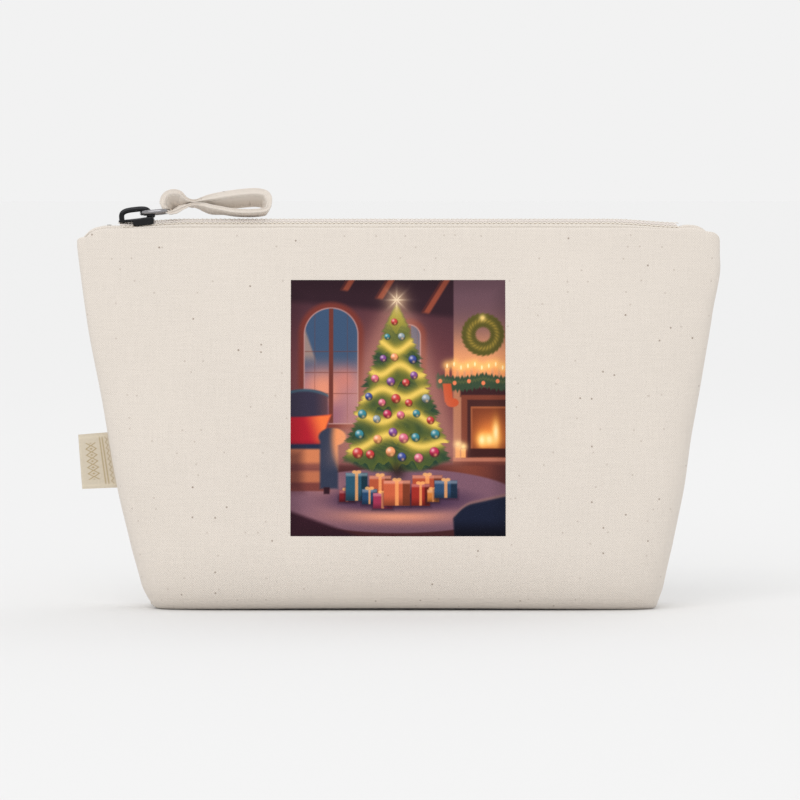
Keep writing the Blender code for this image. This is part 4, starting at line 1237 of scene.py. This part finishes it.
def paintTree(art):
    # stepped boughs with a lighter heart, garlands of light, baubles, and a spark at the top
    x, y = art.x, art.y
    topY, footY, middle = 97.0, 27.5, -0.6
    down = np.clip((topY - y) / (topY - footY), 0.0, 1.0)
    tiers = 6.0
    step = (down * tiers) % 1.0
    sagging = (down * tiers + 0.30 * np.abs(np.sin((x - middle) * 0.30)) + 0.08 * np.sin(x * 1.3)) % 1.0
    fold = smooth(sagging / 0.18) * sagging  # 0 just under the bough above, 1 at a bough's own edge
    even = 24.6 * down ** 0.80
    spread = even * (0.88 + 0.13 * step)
    ragged = 0.5 * np.sin(y * 2.7 + 1.3 * np.sin(x * 0.7)) + 0.3 * np.sin(y * 6.1 + x * 1.9)
    low = footY + 4.2 * smooth((np.abs(x - middle) - 9) / 14)
    inside = soft(np.abs(x - middle) - spread - ragged * np.clip(down * 3, 0, 1), 1.8)
    inside = inside * (y < topY) * soft(low - y, 2.6)
    halo = np.exp(-np.clip(np.abs(x - middle) - even, 0, 99) ** 2 / 30)
    art.lay((206, 160, 140), halo * smooth((topY + 3 - y) / 8) * smooth((y - 26) / 10) * 0.42)
    art.lay((40, 70, 56), inside)
    heart = np.exp(-((x - middle) / (spread * 0.75 + 1.2)) ** 2)
    art.lay((104, 112, 44), inside * heart * (0.25 + 0.55 * fold))
    boughs = 0.5 + 0.5 * np.sin(x * 1.5 + 4 * np.sin(y * 0.5) + y * 2.3)
    art.lay((22, 46, 46), inside * boughs * 0.45 * (1 - fold))
    art.lay((186, 176, 74), inside * np.exp(-((down - 0.05) / 0.13) ** 2) * 0.8)
    art.lay((40, 30, 30), art.glow(middle + 0.4, 27.0, 3.4) * 0.8)
    for k in range(5):
        level = 79.5 - 9.6 * k
        wave = 2.0 * np.cos((x - middle) * (0.42 - 0.045 * k) + k * 2.6)
        line = np.abs(y - level + wave + 0.04 * k * np.abs(x - middle))
        art.lay((190, 172, 66), inside * np.exp(-(line / 3.2) ** 2) * 0.85)
        art.lay((240, 216, 112), inside * np.exp(-(line / 1.5) ** 2) * 0.75)
    chance = np.random.default_rng(11)
    paints = [(52, 132, 150), (176, 44, 84), (122, 74, 150), (228, 156, 106), (56, 76, 152), (186, 60, 62),
              (132, 158, 170), (206, 104, 132)]
    for k in range(8):
        level = 90.0 - 8.0 * k
        share = (topY - level) / (topY - footY)
        count = min(1 + k, 6)
        for j in range(count):
            spot = ((j + 0.5) / count - 0.5) * 2 * 22.0 * share ** 0.85 if count > 1 else 0.0
            cx = middle + spot + chance.uniform(-1.4, 1.4)
            cy = level + chance.uniform(-2.0, 2.0)
            radius = chance.uniform(0.9, 1.35) + 0.75 * share
            paint = np.array(paints[chance.integers(len(paints))], float)
            ball = art.oval(cx, cy, radius, radius, 0.25)
            art.lay(paint * 0.4, art.oval(cx + 0.2, cy - 0.3, radius * 1.12, radius * 1.12, 0.35) * 0.7)
            art.lay(paint, ball)
            art.lay(paint * 0.5, ball * smooth((cy - y) / radius + 0.1) * 0.8)
            art.lay(paint * 0.35 + 160, art.glow(cx - radius * 0.3, cy + radius * 0.35, radius * 0.42))
            art.lay((255, 206, 140), art.glow(cx + radius * 0.3, cy - radius * 0.7, radius * 0.35) * 0.6)
    turn = np.arctan2(y - 99.0, x - middle)
    far = np.hypot(x - middle, y - 99.0)
    rays = np.exp(-far / 1.9) * (0.35 + 0.65 * np.abs(np.cos(turn * 4)) ** 10)
    art.lay((236, 200, 150), art.glow(middle, 99.0, 4.5) * 0.5)
    art.lay((255, 248, 214), np.clip(rays * 1.9, 0, 1))


def paintParcels(art):
    # wrapped boxes along the rug, each with a lit face, a darker side, a pale lid and a bow
    x, y = art.x, art.y
    parcels = [(-24.5, 14.6, 6.4, 4.8, (112, 30, 38)), (-21.8, 15.0, 9.0, 11.6, (40, 84, 108)),
               (-12.0, 17.0, 9.0, 8.4, (168, 84, 58)), (6.0, 17.0, 12.4, 8.6, (166, 78, 54)),
               (-15.0, 13.6, 6.2, 6.2, (34, 70, 106)), (-10.4, 11.8, 8.0, 6.4, (150, 52, 84)),
               (-6.0, 13.0, 11.0, 10.4, (190, 96, 66)), (5.6, 13.0, 7.6, 9.0, (150, 46, 40)),
               (12.2, 14.6, 4.8, 5.0, (190, 120, 58)), (15.2, 16.2, 9.4, 7.2, (44, 76, 112))]
    for left, low, wide, tall, paint in parcels:
        paint = np.array(paint, float)
        body = art.oblong(left, left + wide, low, low + tall, 0.6)
        shadow = art.oblong(left - 0.5, left + wide + 0.5, low - 0.8, low + tall * 0.5, 1.8)
        art.lay((38, 24, 40), shadow * 0.6)
        art.lay(paint, body)
        art.lay(paint * 0.5, body * soft(left + wide * 0.72 - x, 0.6) * 0.8)
        art.lay(paint * 0.45, body * smooth((low + tall * 0.45 - y) / tall * 1.6) * 0.8)
        art.lay(paint * 0.6 + 104, body * soft(low + tall - 1.3 - y, 1.0) * 0.7)
        art.lay((236, 168, 104), soft(np.abs(x - left - wide * 0.5) - wide * 0.07, 0.5) * body * 0.8)
        for aside in (-0.9, 0.9):
            bow = art.oval(left + wide * 0.5 + aside, low + tall + 0.4, 1.0, 0.7, 0.5)
            art.lay((246, 190, 116), bow * 0.75)


def paintStool(art):
    # the dark round edge of a footstool in the near corner, with a lit rim
    x, y = art.x, art.y
    stoolTop = 14.9 + 0.22 * (x - 34) - 0.07 * np.clip(31 - x, 0, 9) ** 2
    stool = soft(y - stoolTop, 1.6) * soft(22.8 + 0.10 * np.clip(9 - y, 0, 9) - x, 1.4)
    art.lay((24, 32, 54), stool)
    edge = np.abs(y - stoolTop)
    art.lay((150, 116, 112), np.exp(-(edge / 0.7) ** 2) * soft(23.4 - x, 1.0) * 0.7)
    art.lay((12, 14, 28), stool * smooth((8 - y) / 8))


def roomPicture(x, y):
    # a generic evening room, its corners a little darker than its middle
    halfWide, tall = pictureSize
    art = Picture(x, y, np.zeros(x.shape + (3,)) + (100, 60, 66))
    art.lay((64, 42, 54), smooth((y - 62.0) / 40.0))
    stages = [paintWalls, paintWindows, paintHearth, paintFloor, paintChair, paintTree, paintParcels]
    for paint in stages + [paintStool]:
        paint(art)
    rim = np.minimum(np.minimum(x + halfWide, halfWide - x), np.minimum(y, tall - y))
    return art.image * (0.88 + 0.12 * smooth(rim / 8.0))[..., None]


def filmFinish():
    # printed film: the painted colours under a faint satin, with the weave just pressing through
    made = Finish("printedFilm", {"Specular IOR Level": 0.05})
    tint = made.attribute("inkColour", "Color")
    placed = made.attribute("clothPlace", "Vector")
    u, v, _ = made.axes(placed)
    turn = math.pi / canvasLook["thread"]
    weave = (u * turn).sine() * (v * turn).sine()
    shade = made.node("ShaderNodeMapRange", None, {0: weave, 1: -1.0, 2: 1.0, 3: 0.965, 4: 1.0})
    grey = made.node("ShaderNodeCombineColor", None, {0: shade, 1: shade, 2: shade})
    made.feed({"Base Color": made.mix(1.0, tint, grey, "MULTIPLY")})
    made.feed({"Roughness": weave * 0.05 + 0.52})
    made.feed({"Normal": made.bump(weave, 0.03 * mm)})
    return made.material


printed = dict(columns=186, rows=431, lowIn=1.0 * mm, highOut=0.2 * mm, lift=0.12 * mm, tuck=-0.1 * mm,
               ink=(1.14, 0.98, 0.93))


def printPiece(name, sideX, finish):
    # the picture's half on a fine grid that follows the wall, with its rim turned down into the cloth
    low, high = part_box("print_transfer")
    x = np.linspace(0.0, high[0], printed["columns"])[None, :]
    z = np.linspace(low[2] + printed["lowIn"], high[2] + printed["highOut"], printed["rows"])[:, None]
    x, z = x + 0 * z, z + 0 * x
    n = cornersAt(z)
    y = halfDepthAt(z) * (1 - (x / halfWidthAt(z)) ** n) ** (1 / n) + ripple(sideX * x, z)
    lift = np.full_like(x, printed["lift"])
    lift[[0, -1]] = printed["tuck"]
    lift[:, -1] = printed["tuck"]
    grid = np.stack([sideX * x, -(y + lift), z + archAt(x, z)], -1)
    picture = roomPicture(sideX * x / mm, (z - z.min()) / (z.max() - z.min()) * pictureSize[1])
    colours = np.array(linear(np.clip(picture, 0.0, 255.0))) * printed["ink"]
    colours = np.concatenate([colours, np.ones_like(colours[..., :1])], -1)
    shape = Shape()
    weavePlace = np.stack([sideX * x, z, 0 * z], -1)
    shape.add(grid, flip=sideX < 0, clothPlace=weavePlace, inkColour=colours)
    piece = shape.build(name, finish)
    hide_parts("print_transfer")
    bendWithMouth(piece)


film = filmFinish()
printPiece("printLeft", -1, film)
printPiece("printRight", 1, film)
print("print made")


edging = dict(
    halfWidth=3.0 * mm, halfHeight=0.75 * mm, clear=1.7 * mm, top=143.0 * mm, low=10.0 * mm,
    fromSide=0.7 * mm, cornerHalf=11 * mm, cornerAt=6.0 * mm, cornerIn=3.4 * mm, cornerHigh=2.6 * mm,
    baseHalf=92 * mm, baseHigh=1.8 * mm, ribPitch=1.6 * mm, colour=(221, 212, 200))


def bindingFinish():
    # overlocked edging: slanting thread ribs over ecru cloth
    made = Finish("seamBinding", {"Roughness": 0.85})
    placed = made.node("ShaderNodeTexCoord", None, None, "Object")
    x, _, z = made.axes(placed)
    ribs = ((z + x) * (2 * math.pi / edging["ribPitch"])).sine()
    grain = made.noise(placed, 800.0, 2.0)
    light = linear(edging["colour"])
    made.feed({"Base Color": made.mix(ribs * 0.2 + grain * 0.6, tuple(c * 0.8 for c in light), light)})
    made.feed({"Normal": made.bump(ribs * 0.6 + grain * 0.5, 0.2 * mm)})
    return made.material


binding = bindingFinish()


def bindingPiece(name, path, across, node):
    # a flattened overlocked edge carried along one seam of the inside
    shape = Shape()
    sweep(shape, path, roundSection(edging["halfWidth"], edging["halfHeight"], 3.0, 16), across)
    piece = shape.build(name, binding, 60.0)
    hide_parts(node)
    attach(piece, "root")


for sideX, hand in ((-1, "left"), (1, "right")):
    z = np.linspace(edging["low"], edging["top"], 60)
    x, _ = planPoint(np.full(60, 1e-4), z, edging["clear"], sideX)
    up = np.stack([sideX * (x - edging["fromSide"]), 0 * x, z], 1)
    bindingPiece(hand + "SeamBinding", up, (0, 1, 0), hand + "_seam_binding")
    y = np.linspace(-edging["cornerHalf"], edging["cornerHalf"], 20)
    cornerX, _ = planPoint(np.array([1e-4]), np.array([edging["cornerAt"]]), edging["clear"], sideX)
    across = np.stack([sideX * (cornerX - edging["cornerIn"]) + 0 * y, y, edging["cornerHigh"] + 0 * y], 1)
    bindingPiece(hand + "CornerBinding", across, (1, 0, 0), hand + "_corner_binding")
x = np.linspace(-edging["baseHalf"], edging["baseHalf"], 60)
lengthwise = np.stack([x, 0 * x, edging["baseHigh"] + archAt(x, 0.0)], 1)
bindingPiece("baseSeamBinding", lengthwise, (0, 1, 0), "base_seam_binding")
print("bindings finished")


studio = dict(
    sky=0.887, floor=0.786, floorHalf=30.0, distance=2.2, elevation=2.5, framed=0.336,
    target=(0.8 * mm, -8.0 * mm, 87.8 * mm), stripSize=(1.0, 0.08), stripAim=(0, 0, 0.1),
    # each wide lamp's name, direction, strength and spread in degrees
    suns=[("keyLight", (0.25, 0.80, -0.62), 0.78, 50), ("backLight", (-0.4, -0.75, -0.7), 0.40, 80)],
    # each strip lamp's name, place and watts
    strips=[("frontStrip", (-0.5, -1.3, 1.2), 1.1), ("backStrip", (0.9, 1.2, 1.3), 0.8)])


def facing(item, direction):
    # an object turned so that its own -Z looks along the direction
    item.rotation_euler = Vector(direction).to_track_quat("-Z", "Y").to_euler()
    bpy.context.scene.collection.objects.link(item)


def makeRoom():
    # white light from all round, and a pale matt floor
    scene = bpy.context.scene
    scene.view_settings.view_transform = "Standard"
    world = bpy.data.worlds.new("paleRoom")
    world.use_nodes = True
    world.node_tree.nodes["Background"].inputs["Color"].default_value = (1.0, 1.0, 1.0, 1.0)
    world.node_tree.nodes["Background"].inputs["Strength"].default_value = studio["sky"]
    scene.world = world
    fixed = {"Roughness": 1.0, "Base Color": (studio["floor"],) * 3, "Specular IOR Level": 0.0}
    mesh = bpy.data.meshes.new("studioFloor")
    size = studio["floorHalf"]
    corners = [(-size, -size, 0), (size, -size, 0), (size, size, 0), (-size, size, 0)]
    mesh.from_pydata(corners, [], [(0, 1, 2, 3)])
    mesh.materials.append(Finish("palePaper", fixed).material)
    floor = bpy.data.objects.new("studioFloor", mesh)
    scene.collection.objects.link(floor)


def makeLamps():
    # two wide soft lamps, and two thin strips for a shine on the metal
    for name, direction, strength, spread in studio["suns"]:
        light = bpy.data.lights.new(name, "SUN")
        light.energy = strength
        light.angle = math.radians(spread)
        facing(bpy.data.objects.new(name, light), direction)
    for name, spot, power in studio["strips"]:
        light = bpy.data.lights.new(name, "AREA")
        light.shape = "RECTANGLE"
        light.size, light.size_y = studio["stripSize"]
        light.energy = power
        lamp = bpy.data.objects.new(name, light)
        lamp.location = spot
        lamp.visible_camera = False
        facing(lamp, Vector(studio["stripAim"]) - Vector(spot))


def makeCamera():
    # looks down on the target from the front by the elevation
    tiltDown = math.radians(studio["elevation"])
    back = Vector((0, -math.cos(tiltDown), math.sin(tiltDown)))
    view = bpy.data.cameras.new("frontView")
    view.lens = view.sensor_width * studio["distance"] / studio["framed"]
    camera = bpy.data.objects.new("frontView", view)
    camera.location = Vector(studio["target"]) + back * studio["distance"]
    facing(camera, -back)
    bpy.context.scene.camera = camera


makeRoom()
makeLamps()
makeCamera()
print("studio made")
